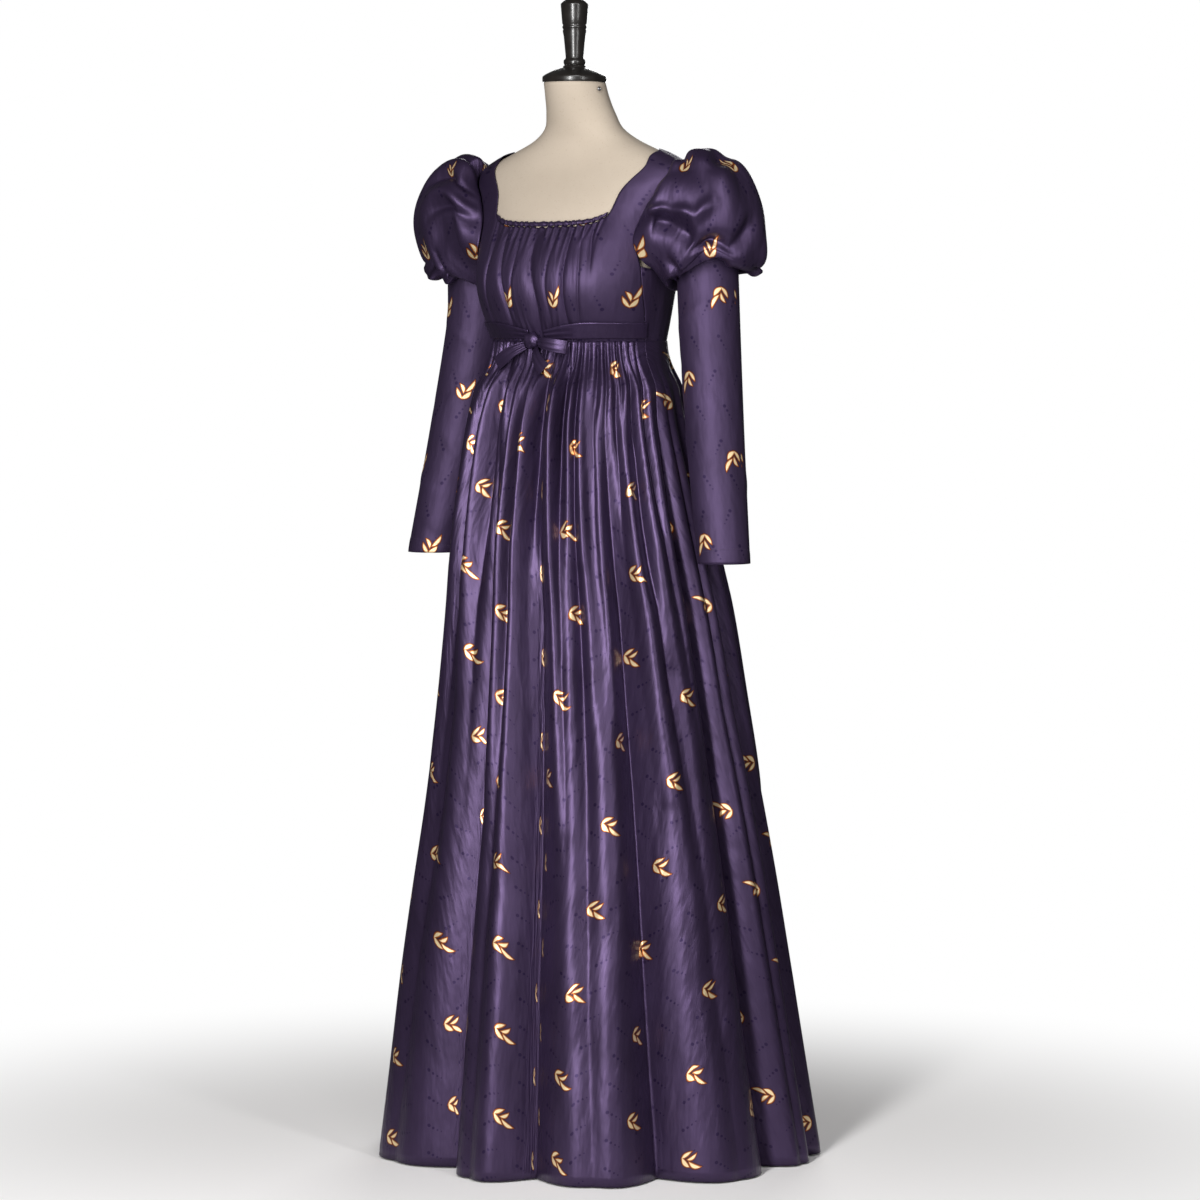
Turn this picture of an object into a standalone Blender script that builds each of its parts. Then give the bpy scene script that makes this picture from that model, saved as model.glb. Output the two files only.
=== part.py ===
"""A high-waisted ball gown with puffed long sleeves, worn by a limbless dress form.

Metres, +Z up. The gown faces -Y and its left sleeve is at +X. The origin is under the pole, on the floor.
Angles are in degrees round the figure: 0 at centre front, 90 at the gown's left side, 180 at centre back.
"""

import math
from bisect import bisect_right
from collections import namedtuple

import bmesh
import bpy
import numpy as np
from mathutils import Vector

WALL = 0.0012                 # thickness of the satin as a solid
SEAM = 0.0003                 # gap between two pieces that are sewn together
LAP = 0.0006                  # clear air between a piece and the one that it lies on

WAIST = 1.2400                # height of the high waist seam
HEM = 0.008                   # height of the skirt's hem
NECK_TOP = 1.6265             # where the cap sits on the figure's neck
FIGURE_FOOT = 0.84            # underside of the padded figure
NECK_LEAN = -0.016            # how far forward the top of the neck is
BASE_RADIUS = 0.19
POLE_RADIUS = 0.016
CUFF_HEIGHT = 0.912
SLEEVE_TOP = 1.378
PUFF_SEAM = 1.372             # height of the seam that holds the puff's lower edge on the sleeve

SIDE_SEAM = 78.0              # angle of the side seams at the waist
FRONT_GATHERS = 32            # small gathers of the front skirt along the waist seam
BACK_GATHERS = 36             # the same on the back skirt, pressed flat next to the side seams
NECK_GATHERS = 18             # along the gathered front of the neckline
SIDE_COLUMNS = 6              # columns of faces across each plain side of the bodice front
BACK_COLUMNS = 10             # the same across each half of its back
SLEEVE_COLUMNS = 16
SLEEVE_ROWS = 6
FIGURE_COLUMNS = 28
COLUMNS_PER_GATHER = 2

SIDES = (("left", 1), ("right", -1))
SEAM_ANGLE = 0.16             # half the gap at a seam, as an angle at the waist
SHOULDER_GAP = 0.5            # the same at the shoulder, where the figure is thinner
SEAM_STEP = 0.0005            # half the gap at the waist seam
FRONT_MIDDLE_COLUMNS = NECK_GATHERS * COLUMNS_PER_GATHER
FRONT_COLUMNS = FRONT_MIDDLE_COLUMNS + 2 * SIDE_COLUMNS
FRONT_MIDDLE_SHARE = FRONT_MIDDLE_COLUMNS / FRONT_COLUMNS
CASING_REACH = 0.985          # share of the gathered neckline that the casing covers
CASING_LUMP = 0.16            # how much each gather swells the casing, as a share of its thickness
NECKLINE_GATHER = 0.0012      # depth of the small gathers of the bodice at its neckline
WAIST_GATHER = 0.0008         # the same at the waist seam
STUD_RADIUS = 0.0034
STUD_ANGLE = 78.0
STUD_HEIGHT = 1.6155

# Cross sections of the padded figure, from the foot to the neck.
FigureRing = namedtuple("FigureRing", "height width front back centre roundness")
FIGURE = [
    FigureRing(FIGURE_FOOT, 0.150, 0.104, 0.112, 0.000, 2.2),
    FigureRing(0.920, 0.166, 0.112, 0.122, 0.000, 2.2),
    FigureRing(1.000, 0.160, 0.108, 0.114, 0.000, 2.2),
    FigureRing(1.080, 0.134, 0.096, 0.094, 0.000, 2.1),
    FigureRing(1.140, 0.122, 0.091, 0.084, 0.000, 2.1),
    FigureRing(1.190, 0.126, 0.095, 0.087, 0.000, 2.1),
    FigureRing(1.235, 0.132, 0.101, 0.093, 0.000, 2.2),
    FigureRing(1.280, 0.138, 0.117, 0.098, 0.000, 2.4),
    FigureRing(1.330, 0.145, 0.127, 0.102, 0.000, 2.5),
    FigureRing(1.380, 0.152, 0.114, 0.102, 0.001, 2.4),
    FigureRing(1.420, 0.161, 0.097, 0.101, 0.006, 2.3),
    FigureRing(1.455, 0.174, 0.081, 0.094, 0.010, 2.3),
    FigureRing(1.482, 0.184, 0.067, 0.083, 0.013, 2.3),
    FigureRing(1.497, 0.180, 0.059, 0.073, 0.014, 2.2),
    FigureRing(1.510, 0.158, 0.053, 0.066, 0.014, 2.2),
    FigureRing(1.524, 0.127, 0.049, 0.060, 0.014, 2.1),
    FigureRing(1.540, 0.091, 0.046, 0.053, 0.013, 2.0),
    FigureRing(1.556, 0.067, 0.046, 0.048, 0.009, 2.0),
    FigureRing(1.580, 0.055, 0.047, 0.047, 0.001, 2.0),
    FigureRing(1.605, 0.049, 0.047, 0.047, -0.009, 2.0),
    FigureRing(NECK_TOP, 0.0465, 0.0465, 0.0465, NECK_LEAN, 2.0),
]
FIGURE_ROWS = [
    FIGURE_FOOT, 0.91, 1.00, 1.08, 1.15, 1.21, 1.26, 1.31, 1.36, 1.41,
    1.445, 1.470, 1.486, 1.498, 1.510, 1.524, 1.540, 1.560, 1.585, 1.6055, NECK_TOP,
]

# How far the middle of the bodice's cloth lies off the figure.
Ease = namedtuple("Ease", "height front back")
EASE = [
    Ease(WAIST, 0.0050, 0.0050),
    Ease(1.290, 0.0100, 0.0050),
    Ease(1.345, 0.0095, 0.0055),
    Ease(1.400, 0.0050, 0.0050),
    Ease(1.440, 0.0034, 0.0032),
    Ease(1.480, 0.0042, 0.0042),
    Ease(1.530, 0.0042, 0.0042),
]

# Edges of the bodice's panels on the gown's left, in rows of faces from the waist to the shoulder seam.
# The inner edge bounds the gathered front or runs down centre back, and above that it is the neckline.
# The outer edge is the side seam and then the armhole, and a row dips below the line between its ends.
PanelRow = namedtuple("PanelRow", "row inner_angle inner_height outer_angle outer_height dip")
BODICE_ROWS = 11
CORNER_ROW = 7
FRONT_EDGES = [
    PanelRow(0, 34.0, WAIST, SIDE_SEAM, WAIST, 0.000),
    PanelRow(2, 34.5, 1.290, 75.5, 1.285, 0.000),
    PanelRow(4, 35.0, 1.344, 69.0, 1.350, 0.000),
    PanelRow(5.5, 35.2, 1.384, 61.5, 1.384, 0.000),
    PanelRow(CORNER_ROW, 35.5, 1.414, 60.0, 1.420, 0.000),
    PanelRow(9, 41.0, 1.483, 68.0, 1.470, 0.000),
    PanelRow(10, 58.0, 1.510, 76.5, 1.487, 0.000),
    PanelRow(BODICE_ROWS, 90.0 - SHOULDER_GAP, 1.522, 90.0 - SHOULDER_GAP, 1.495, 0.000),
]
BACK_EDGES = [
    PanelRow(0, 180.0, WAIST, SIDE_SEAM, WAIST, 0.000),
    PanelRow(2, 180.0, 1.290, 75.5, 1.285, 0.004),
    PanelRow(3, 180.0, 1.320, 72.0, 1.318, 0.012),
    PanelRow(4, 180.0, 1.355, 69.0, 1.350, 0.024),
    PanelRow(5, 180.0, 1.393, 89.0, 1.344, 0.006),
    PanelRow(6, 180.0, 1.432, 112.0, 1.372, 0.000),
    PanelRow(CORNER_ROW, 180.0, 1.470, 121.0, 1.420, 0.000),
    PanelRow(9, 141.0, 1.492, 112.0, 1.470, 0.000),
    PanelRow(10, 118.0, 1.511, 102.0, 1.487, 0.000),
    PanelRow(BODICE_ROWS, 90.0 + SHOULDER_GAP, 1.522, 90.0 + SHOULDER_GAP, 1.495, 0.000),
]
NECKLINE_DIP = 0.007          # how far centre front lies below the corners of the neckline
NECKLINE_CORNER = next(p for p in FRONT_EDGES if p.row == CORNER_ROW)
CASING_HEIGHT = 0.0032        # half the height of the ruched casing along the front neckline
CASING_DEPTH = 0.0022         # half its depth

# Long soft pleats in the bodice front: where each crosses the neckline and the waist, and its size.
Pleat = namedtuple("Pleat", "top_angle waist_angle half_width depth")
BODICE_PLEATS = [
    Pleat(-27.0, -38.0, 3.4, 0.0040),
    Pleat(-15.0, -20.0, 3.0, 0.0045),
    Pleat(1.0, 2.0, 3.2, 0.0060),
    Pleat(14.0, 22.0, 3.0, 0.0050),
    Pleat(28.0, 40.0, 3.4, 0.0055),
]

# The line round the left armhole, from the shoulder tip over the front and the underarm to the back.
ArmholePoint = namedtuple("ArmholePoint", "share angle height")
ARMHOLE = [
    ArmholePoint(0.000, 87.0, 1.4945),
    ArmholePoint(0.040, 74.5, 1.4830),
    ArmholePoint(0.091, 66.5, 1.4710),
    ArmholePoint(0.150, 62.0, 1.4545),
    ArmholePoint(0.250, 58.5, 1.4200),
    ArmholePoint(0.320, 60.0, 1.3825),
    ArmholePoint(0.360, 66.5, 1.3626),
    ArmholePoint(0.414, 78.0, 1.3472),
    ArmholePoint(0.500, 91.0, 1.3420),
    ArmholePoint(0.580, 103.5, 1.3500),
    ArmholePoint(0.642, 114.0, 1.3710),
    ArmholePoint(0.745, 122.5, 1.4200),
    ArmholePoint(0.850, 113.5, 1.4710),
    ArmholePoint(0.914, 101.0, 1.4872),
    ArmholePoint(0.969, 91.0, 1.4965),
    ArmholePoint(1.000, 87.0, 1.4945),
]

# Outline of the skirt over the crests of its folds, from the waist to the hem.
SkirtRing = namedtuple("SkirtRing", "height width depth centre")
SKIRT = [
    SkirtRing(WAIST, 0.1385, 0.1045, -0.003),
    SkirtRing(1.180, 0.157, 0.132, -0.004),
    SkirtRing(1.120, 0.171, 0.152, -0.009),
    SkirtRing(1.050, 0.187, 0.170, -0.007),
    SkirtRing(0.916, 0.210, 0.195, 0.002),
    SkirtRing(0.846, 0.220, 0.205, 0.010),
    SkirtRing(0.693, 0.243, 0.228, 0.020),
    SkirtRing(0.602, 0.256, 0.242, 0.026),
    SkirtRing(0.450, 0.278, 0.264, 0.032),
    SkirtRing(0.298, 0.300, 0.287, 0.036),
    SkirtRing(0.145, 0.321, 0.308, 0.041),
    SkirtRing(HEM, 0.341, 0.326, 0.045),
]

# The valleys between the skirt's big folds: their angle at the waist and at the hem, and their depth there.
Valley = namedtuple("Valley", "waist_angle hem_angle depth")
VALLEYS = [
    Valley(-SIDE_SEAM, -90.0, 0.050),
    Valley(-45.0, -55.0, 0.050),
    Valley(-12.0, -14.0, 0.056),
    Valley(13.0, 14.5, 0.050),
    Valley(44.0, 51.5, 0.058),
    Valley(SIDE_SEAM, 91.0, 0.050),
    Valley(97.0, 109.0, 0.030),
    Valley(116.0, 128.0, 0.046),
    Valley(138.0, 149.0, 0.054),
    Valley(160.0, 168.0, 0.044),
    Valley(183.0, 188.0, 0.055),
    Valley(206.0, 209.0, 0.048),
    Valley(229.0, 230.0, 0.055),
    Valley(255.0, 250.0, 0.040),
    Valley(360.0 - SIDE_SEAM, 270.0, 0.050),
]
FOLD_ROUNDNESS = 0.8          # below 1 the crests are fuller than the valleys
FLAT_AT_SEAM = (74.0, 102.0)  # waist angles between which the skirt is pressed flat beside its side seam
FULL_GATHERS = (60.0, 126.0)  # waist angles outside which its gathers have their whole depth

# How deep the three sizes of fold are at each height: the big ones as a share of their depth at the
# hem, the middle ones and the small gathers in metres.
FoldDepth = namedtuple("FoldDepth", "height big middle gather")
FOLD_DEPTHS = [
    FoldDepth(WAIST, 0.00, 0.0000, 0.0010),
    FoldDepth(1.215, 0.01, 0.0020, 0.0024),
    FoldDepth(1.180, 0.04, 0.0060, 0.0028),
    FoldDepth(1.120, 0.10, 0.0100, 0.0020),
    FoldDepth(1.050, 0.20, 0.0120, 0.0008),
    FoldDepth(0.916, 0.38, 0.0110, 0.0000),
    FoldDepth(0.750, 0.56, 0.0080, 0.0000),
    FoldDepth(0.600, 0.69, 0.0055, 0.0000),
    FoldDepth(0.400, 0.84, 0.0035, 0.0000),
    FoldDepth(0.200, 0.94, 0.0020, 0.0000),
    FoldDepth(HEM, 1.00, 0.0015, 0.0000),
]
SKIRT_ROWS = [WAIST, 1.222, 1.200, 1.165, 1.110, 1.035, 0.930, 0.780, 0.600, 0.400, 0.200, HEM]

# Middle line of the left sleeve below its puff, with the radius of the tube.
SleeveRing = namedtuple("SleeveRing", "height x y radius")
SLEEVE = [
    SleeveRing(SLEEVE_TOP, 0.2100, 0.0270, 0.0460),
    SleeveRing(1.250, 0.2230, 0.0160, 0.0455),
    SleeveRing(1.100, 0.2440, -0.0010, 0.0430),
    SleeveRing(CUFF_HEIGHT, 0.2750, -0.0240, 0.0385),
]

# Rings of the left puff between the armhole and the seam on the sleeve: the innermost and the
# outermost point of each, its half width from front to back, and its middle in Y.
PuffRing = namedtuple("PuffRing", "inner_x inner_z outer_x outer_z half_width y")
PUFF = [
    PuffRing(0.1580, 1.3305, 0.1940, 1.5200, 0.0770, 0.000),
    PuffRing(0.1580, 1.3235, 0.2340, 1.5270, 0.0820, 0.008),
    PuffRing(0.1580, 1.3185, 0.2750, 1.5040, 0.0850, 0.015),
    PuffRing(0.1600, 1.3150, 0.2980, 1.4600, 0.0860, 0.018),
    PuffRing(0.1632, 1.3150, 0.3040, 1.4100, 0.0840, 0.020),
    PuffRing(0.1650, 1.3250, 0.2970, 1.3600, 0.0750, 0.022),
    PuffRing(0.1650, 1.3370, 0.2820, 1.3430, 0.0650, 0.025),
    PuffRing(0.1640, 1.3540, 0.2660, 1.3560, 0.0560, 0.027),
]
PUFF_GATHERS = 14
PUFF_GATHER_DEPTH = 0.0016

# Large soft puckers of a puff: their place round the arm and along it, their size and their depth.
Pucker = namedtuple("Pucker", "around along half_around half_along depth")
PUCKERS = [
    Pucker(0.03, 0.30, 0.040, 0.22, 0.010),
    Pucker(0.13, 0.22, 0.038, 0.20, 0.011),
    Pucker(0.18, 0.62, 0.060, 0.14, 0.012),
    Pucker(0.26, 0.35, 0.040, 0.26, 0.009),
    Pucker(0.74, 0.30, 0.040, 0.14, 0.008),
    Pucker(0.86, 0.60, 0.045, 0.22, 0.010),
    Pucker(0.93, 0.26, 0.038, 0.22, 0.009),
]

# Outer line of the turned pieces on the neck and under the pole, from the top down.
TurnedPoint = namedtuple("TurnedPoint", "radius height")
FINIAL_PROFILE = [
    TurnedPoint(0.0000, 1.7540), TurnedPoint(0.0110, 1.7515), TurnedPoint(0.0205, 1.7445),
    TurnedPoint(0.0208, 1.7415), TurnedPoint(0.0183, 1.7120), TurnedPoint(0.0174, 1.7085),
    TurnedPoint(0.0182, 1.7050), TurnedPoint(0.0163, 1.6950), TurnedPoint(0.0134, 1.6640),
    TurnedPoint(0.0165, 1.6595), TurnedPoint(0.0165, 1.6540), TurnedPoint(0.0150, 1.6525),
    TurnedPoint(0.0000, 1.6525),
]
CAP_PROFILE = [
    TurnedPoint(0.0000, 1.6522), TurnedPoint(0.0158, 1.6522), TurnedPoint(0.0180, 1.6490),
    TurnedPoint(0.0300, 1.6450), TurnedPoint(0.0440, 1.6385), TurnedPoint(0.0482, 1.6355),
    TurnedPoint(0.0486, 1.6290), TurnedPoint(0.0478, NECK_TOP + SEAM), TurnedPoint(0.0000, NECK_TOP + SEAM),
]
BASE_PROFILE = [
    TurnedPoint(0.0000, 0.0440), TurnedPoint(0.0270, 0.0440), TurnedPoint(0.0320, 0.0300),
    TurnedPoint(0.0600, 0.0220), TurnedPoint(BASE_RADIUS, 0.0110), TurnedPoint(BASE_RADIUS, 0.0000),
    TurnedPoint(0.0000, 0.0000),
]

# The sash, from the knot to the side seam: middle height and half width of the band.
SashPoint = namedtuple("SashPoint", "angle height half_width")
SASH = [
    SashPoint(4.0, 1.2490, 0.0068),
    SashPoint(14.0, 1.2520, 0.0095),
    SashPoint(26.0, 1.2540, 0.0118),
    SashPoint(50.0, 1.2545, 0.0118),
    SashPoint(SIDE_SEAM, 1.2545, 0.0118),
]

# The bow's ribbons seen from the front, from the knot outwards: the place of the band's middle, how
# far it stands off the skirt, and its half width.
RibbonPoint = namedtuple("RibbonPoint", "x z out half_width")
KNOT_CENTRE = (-0.006, 1.2400)
KNOT_SIZE = (0.0135, 0.0085, 0.0120)
KNOT_OUT = 0.0124
TAIL_LEFT = [
    RibbonPoint(0.0008, 1.2283, 0.0074, 0.0060), RibbonPoint(0.0085, 1.2190, 0.0125, 0.0085),
    RibbonPoint(0.0180, 1.2080, 0.0125, 0.0100), RibbonPoint(0.0290, 1.1970, 0.0110, 0.0112),
]
TAIL_RIGHT = [
    RibbonPoint(-0.0178, 1.2330, 0.0099, 0.0060), RibbonPoint(-0.0330, 1.2260, 0.0140, 0.0085),
    RibbonPoint(-0.0500, 1.2160, 0.0140, 0.0100), RibbonPoint(-0.0680, 1.2050, 0.0110, 0.0105),
]
LOOP = [
    RibbonPoint(0.0078, 1.2372, 0.0140, 0.0060), RibbonPoint(0.0230, 1.2360, 0.0230, 0.0085),
    RibbonPoint(0.0420, 1.2330, 0.0240, 0.0098), RibbonPoint(0.0550, 1.2305, 0.0200, 0.0100),
    RibbonPoint(0.0585, 1.2300, 0.0160, 0.0100), RibbonPoint(0.0550, 1.2305, 0.0120, 0.0098),
    RibbonPoint(0.0420, 1.2330, 0.0100, 0.0090), RibbonPoint(0.0230, 1.2360, 0.0105, 0.0080),
    RibbonPoint(0.0078, 1.2372, 0.0095, 0.0060),
]


def smooth_value(table, key, column, at):
    """Value of a table's column on the cubic curve through its rows, held at the ends."""
    knots = [getattr(row, key) for row in table]
    values = [getattr(row, column) for row in table]
    if knots[0] > knots[-1]:
        knots.reverse()
        values.reverse()
    at = min(max(at, knots[0]), knots[-1])
    slopes = np.gradient(values, knots)
    i = min(bisect_right(knots, at) - 1, len(knots) - 2)
    gap = knots[i + 1] - knots[i]
    t = (at - knots[i]) / gap
    return (
        values[i] * (2 * t**3 - 3 * t**2 + 1)
        + values[i + 1] * (3 * t**2 - 2 * t**3)
        + gap * slopes[i] * (t**3 - 2 * t**2 + t)
        + gap * slopes[i + 1] * (t**3 - t**2)
    )


def power(value, exponent):
    """Signed power, for a ring that is squarer than an ellipse."""
    return math.copysign(abs(value) ** exponent, value)


def smoothstep(low, high, value):
    t = min(max((value - low) / (high - low), 0.0), 1.0)
    return t * t * (3 - 2 * t)


def sway(number):
    """A repeatable uneven value from -1 to 1 for the fold of that number."""
    return math.sin(2.4 * number + 1.3) * math.cos(1.7 * number)


def figure_point(angle, height):
    side, ahead = math.sin(math.radians(angle)), math.cos(math.radians(angle))
    ring = {c: smooth_value(FIGURE, "height", c, height) for c in FigureRing._fields[1:]}
    exponent = 2 / ring["roundness"]
    depth = ring["front"] if ahead > 0 else ring["back"]
    return Vector((
        ring["width"] * power(side, exponent),
        ring["centre"] - depth * power(ahead, exponent),
        height,
    ))


def skin(angle, height, out):
    """The point that lies that far off the figure, square to its surface."""
    step_angle, step_height = 1.5, 0.004
    across = figure_point(angle + step_angle, height) - figure_point(angle - step_angle, height)
    upward = figure_point(angle, height + step_height) - figure_point(angle, height - step_height)
    return figure_point(angle, height) + across.cross(upward).normalized() * out


def level_skin(angle, height, out):
    """The same at exactly that height, for an edge that runs level round the figure."""
    point = skin(angle, 2 * height - skin(angle, height, out).z, out)
    return Vector((point.x, point.y, height))


def bodice_ease(angle, height):
    front = smooth_value(EASE, "height", "front", height)
    back = smooth_value(EASE, "height", "back", height)
    return back + (front - back) * (1 - smoothstep(70.0, 100.0, abs(angle)))


def in_collection(obj, name="Ball gown on dress form"):
    collection = bpy.data.collections.get(name)
    if collection is None:
        collection = bpy.data.collections.new(name)
        bpy.context.scene.collection.children.link(collection)
    collection.objects.link(obj)
    return obj


def material(name, colour, roughness, metallic=0.0):
    found = bpy.data.materials.get(name)
    if found is None:
        found = bpy.data.materials.new(name)
        found.use_nodes = True
        shader = found.node_tree.nodes["Principled BSDF"]
        shader.inputs["Base Color"].default_value = (*colour, 1.0)
        shader.inputs["Roughness"].default_value = roughness
        shader.inputs["Metallic"].default_value = metallic
    return found


def satin():
    return material("plum satin", (0.072, 0.047, 0.102), 0.32)


def canvas():
    return material("form canvas", (0.48, 0.42, 0.36), 0.9)


def black_wood():
    return material("black lacquered wood", (0.008, 0.007, 0.008), 0.3)


def steel():
    return material("stand steel", (0.32, 0.32, 0.33), 0.4, 1.0)


def object_from(bm, name, finish):
    mesh = bpy.data.meshes.new(name)
    bm.to_mesh(mesh)
    bm.free()
    mesh.materials.append(finish)
    mesh.shade_smooth()
    return in_collection(bpy.data.objects.new(name, mesh))


def mapped_grid(columns, rows, place, keep=None):
    """A grid whose points go where place(share across, share up) says, without the faces keep refuses."""
    bm = bmesh.new()
    bmesh.ops.create_grid(bm, x_segments=columns, y_segments=rows, size=1.0)
    if keep is not None:
        refused = []
        for face in bm.faces:
            middle = face.calc_center_median()
            if not keep((middle.x + 1) / 2, (middle.y + 1) / 2):
                refused.append(face)
        bmesh.ops.delete(bm, geom=refused, context="FACES")
    for point in bm.verts:
        point.co = place((point.co.x + 1) / 2, (point.co.y + 1) / 2)
    return bm


def cloth(bm, name, even=True):
    """A panel of satin: the open surface with its thickness."""
    panel = object_from(bm, name, satin())
    wall = panel.modifiers.new("wall", "SOLIDIFY")
    wall.thickness = WALL
    wall.offset = 0.0
    wall.use_even_offset = even
    return panel


def turned(profile, name, finish, steps, lean=0.0):
    """A solid turned on the vertical axis from a profile that runs down its outer side."""
    bm = bmesh.new()
    points = [bm.verts.new((p.radius, 0.0, p.height)) for p in profile]
    for upper, lower in zip(points, points[1:]):
        bm.edges.new((upper, lower))
    piece = object_from(bm, name, finish)
    piece.location.y = lean
    screw = piece.modifiers.new("turning", "SCREW")
    screw.steps = screw.render_steps = steps
    screw.use_merge_vertices = True
    screw.merge_threshold = 0.0001
    return piece


def close_tube(bm):
    """Joins the two side edges of a grid that goes all the way round, and caps its ends."""
    bmesh.ops.remove_doubles(bm, verts=bm.verts, dist=0.00005)
    bmesh.ops.holes_fill(bm, edges=[e for e in bm.edges if e.is_boundary], sides=0)
    bmesh.ops.recalc_face_normals(bm, faces=bm.faces)


def join_sides(bm):
    """Joins the two side edges of a grid that goes all the way round, and leaves its ends open."""
    bmesh.ops.remove_doubles(bm, verts=bm.verts, dist=0.00005)


def build_figure():
    """The padded torso and neck, one closed solid."""
    rows = len(FIGURE_ROWS) - 1
    bm = mapped_grid(FIGURE_COLUMNS, rows, lambda s, t: figure_point(360 * s, FIGURE_ROWS[round(t * rows)]))
    close_tube(bm)
    object_from(bm, "form_torso", canvas())


def build_neck_fittings():
    turned(CAP_PROFILE, "neck_cap", black_wood(), 24, NECK_LEAN)
    turned(FINIAL_PROFILE, "neck_finial", black_wood(), 16, NECK_LEAN)
    bm = bmesh.new()
    bmesh.ops.create_uvsphere(bm, u_segments=8, v_segments=6, radius=STUD_RADIUS)
    stud = object_from(bm, "neck_stud", steel())
    stud.location = skin(STUD_ANGLE, STUD_HEIGHT, STUD_RADIUS + SEAM)


def build_stand():
    pole_top = FIGURE_FOOT - SEAM
    pole_foot = BASE_PROFILE[0].height + SEAM
    bm = bmesh.new()
    bmesh.ops.create_cone(
        bm, cap_ends=True, segments=20, radius1=POLE_RADIUS, radius2=POLE_RADIUS, depth=pole_top - pole_foot
    )
    pole = object_from(bm, "stand_pole", steel())
    pole.location.z = (pole_top + pole_foot) / 2
    turned(BASE_PROFILE, "stand_base", black_wood(), 32)


def panel_edges(table, row):
    """The columns of a bodice panel's table at that row."""
    rows = [p.row for p in table]
    return PanelRow(row, *(
        float(np.interp(row, rows, [getattr(p, column) for p in table])) for column in PanelRow._fields[1:]
    ))


def front_place(s, t):
    """Bodice front: s runs from the gown's right to its left, t from the waist to the shoulder seams."""
    half, row = (s - 0.5) * 2, t * BODICE_ROWS
    edge = panel_edges(FRONT_EDGES, row)
    across = half / FRONT_MIDDLE_SHARE
    up = min(row / CORNER_ROW, 1.0)
    if abs(across) <= 1.0001:
        angle = edge.inner_angle * across
        height = edge.inner_height - NECKLINE_DIP * (1 - across**2) * up
    else:
        share = (abs(half) - FRONT_MIDDLE_SHARE) / (1 - FRONT_MIDDLE_SHARE)
        angle = edge.inner_angle + (edge.outer_angle - SEAM_ANGLE - edge.inner_angle) * share
        angle = math.copysign(angle, half)
        height = edge.inner_height + (edge.outer_height - edge.inner_height) * share
    return bodice_point(angle, height, row, front_folds(across, up, angle))


def bodice_point(angle, height, row, fold=0.0):
    out = bodice_ease(angle, height) + fold
    return level_skin(angle, WAIST + SEAM_STEP, out) if row < 0.5 else skin(angle, height, out)


def front_folds(across, up, angle):
    """Gathers at the neckline and the waist, and the long pleats between them."""
    fade = 1 - smoothstep(0.95, 1.35, abs(across))
    depth = NECKLINE_GATHER * smoothstep(0.55, 1.0, up) + WAIST_GATHER * (1 - smoothstep(0.0, 0.35, up))
    ripple = depth * math.cos(math.pi * NECK_GATHERS * (across + 1))
    pleats = 0.0
    for pleat in BODICE_PLEATS:
        at = pleat.waist_angle + (pleat.top_angle - pleat.waist_angle) * up
        pleats += pleat.depth * math.exp(-(((angle - at) / pleat.half_width) ** 2)) * (1 - 0.5 * up)
    return fade * ripple - pleats * smoothstep(0.0, 0.15, up) * (1 - smoothstep(1.0, 1.3, abs(across) * up))


def back_place(s, t):
    """Left half of the bodice's back: s runs from the side seam and armhole to centre back."""
    row = t * BODICE_ROWS
    edge = panel_edges(BACK_EDGES, row)
    angle = edge.outer_angle + SEAM_ANGLE + (edge.inner_angle - edge.outer_angle - 2 * SEAM_ANGLE) * s
    height = edge.outer_height + (edge.inner_height - edge.outer_height) * s
    return bodice_point(angle, height - edge.dip * math.sin(math.pi * math.sqrt(s)), row)


def build_bodice():
    def below_neckline(s, t):
        return abs(s - 0.5) * 2 > FRONT_MIDDLE_SHARE or t * BODICE_ROWS < CORNER_ROW

    cloth(mapped_grid(FRONT_COLUMNS, BODICE_ROWS, front_place, below_neckline), "bodice_front")
    for name, side in SIDES:
        cloth(mapped_grid(BACK_COLUMNS, BODICE_ROWS, mirrored(back_place, side)), "bodice_back_" + name)


def build_casing():
    """The ruched casing on the front neckline: a lumpy tube, one lump for each gather."""
    def place(s, t):
        across, turn = (t * 2 - 1) * CASING_REACH, 2 * math.pi * s
        angle = NECKLINE_CORNER.inner_angle * across
        height = NECKLINE_CORNER.inner_height - NECKLINE_DIP * (1 - across**2)
        lump = 1 + CASING_LUMP * math.cos(math.pi * NECK_GATHERS * (across + 1))
        out = bodice_ease(angle, height) + CASING_DEPTH * lump * math.cos(turn)
        return skin(angle, height + LAP + CASING_HEIGHT * (1 + lump * math.sin(turn)), out)

    bm = mapped_grid(6, NECK_GATHERS * COLUMNS_PER_GATHER, place)
    close_tube(bm)
    object_from(bm, "neckline_casing", satin())


def sleeve_place(around, height, out=0.0):
    """Left sleeve: around is 0 on its outer side and a quarter at its front."""
    middle, ahead = (
        Vector((smooth_value(SLEEVE, "height", "x", at), smooth_value(SLEEVE, "height", "y", at), at))
        for at in (height, height - 0.01)
    )
    along = (ahead - middle).normalized()
    outward = (Vector((1, 0, 0)) - along * along.x).normalized()
    forward = outward.cross(along)
    forward = forward if forward.y < 0 else -forward
    turn = 2 * math.pi * around
    radius = smooth_value(SLEEVE, "height", "radius", height) + out
    return middle + (outward * math.cos(turn) + forward * math.sin(turn)) * radius


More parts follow.
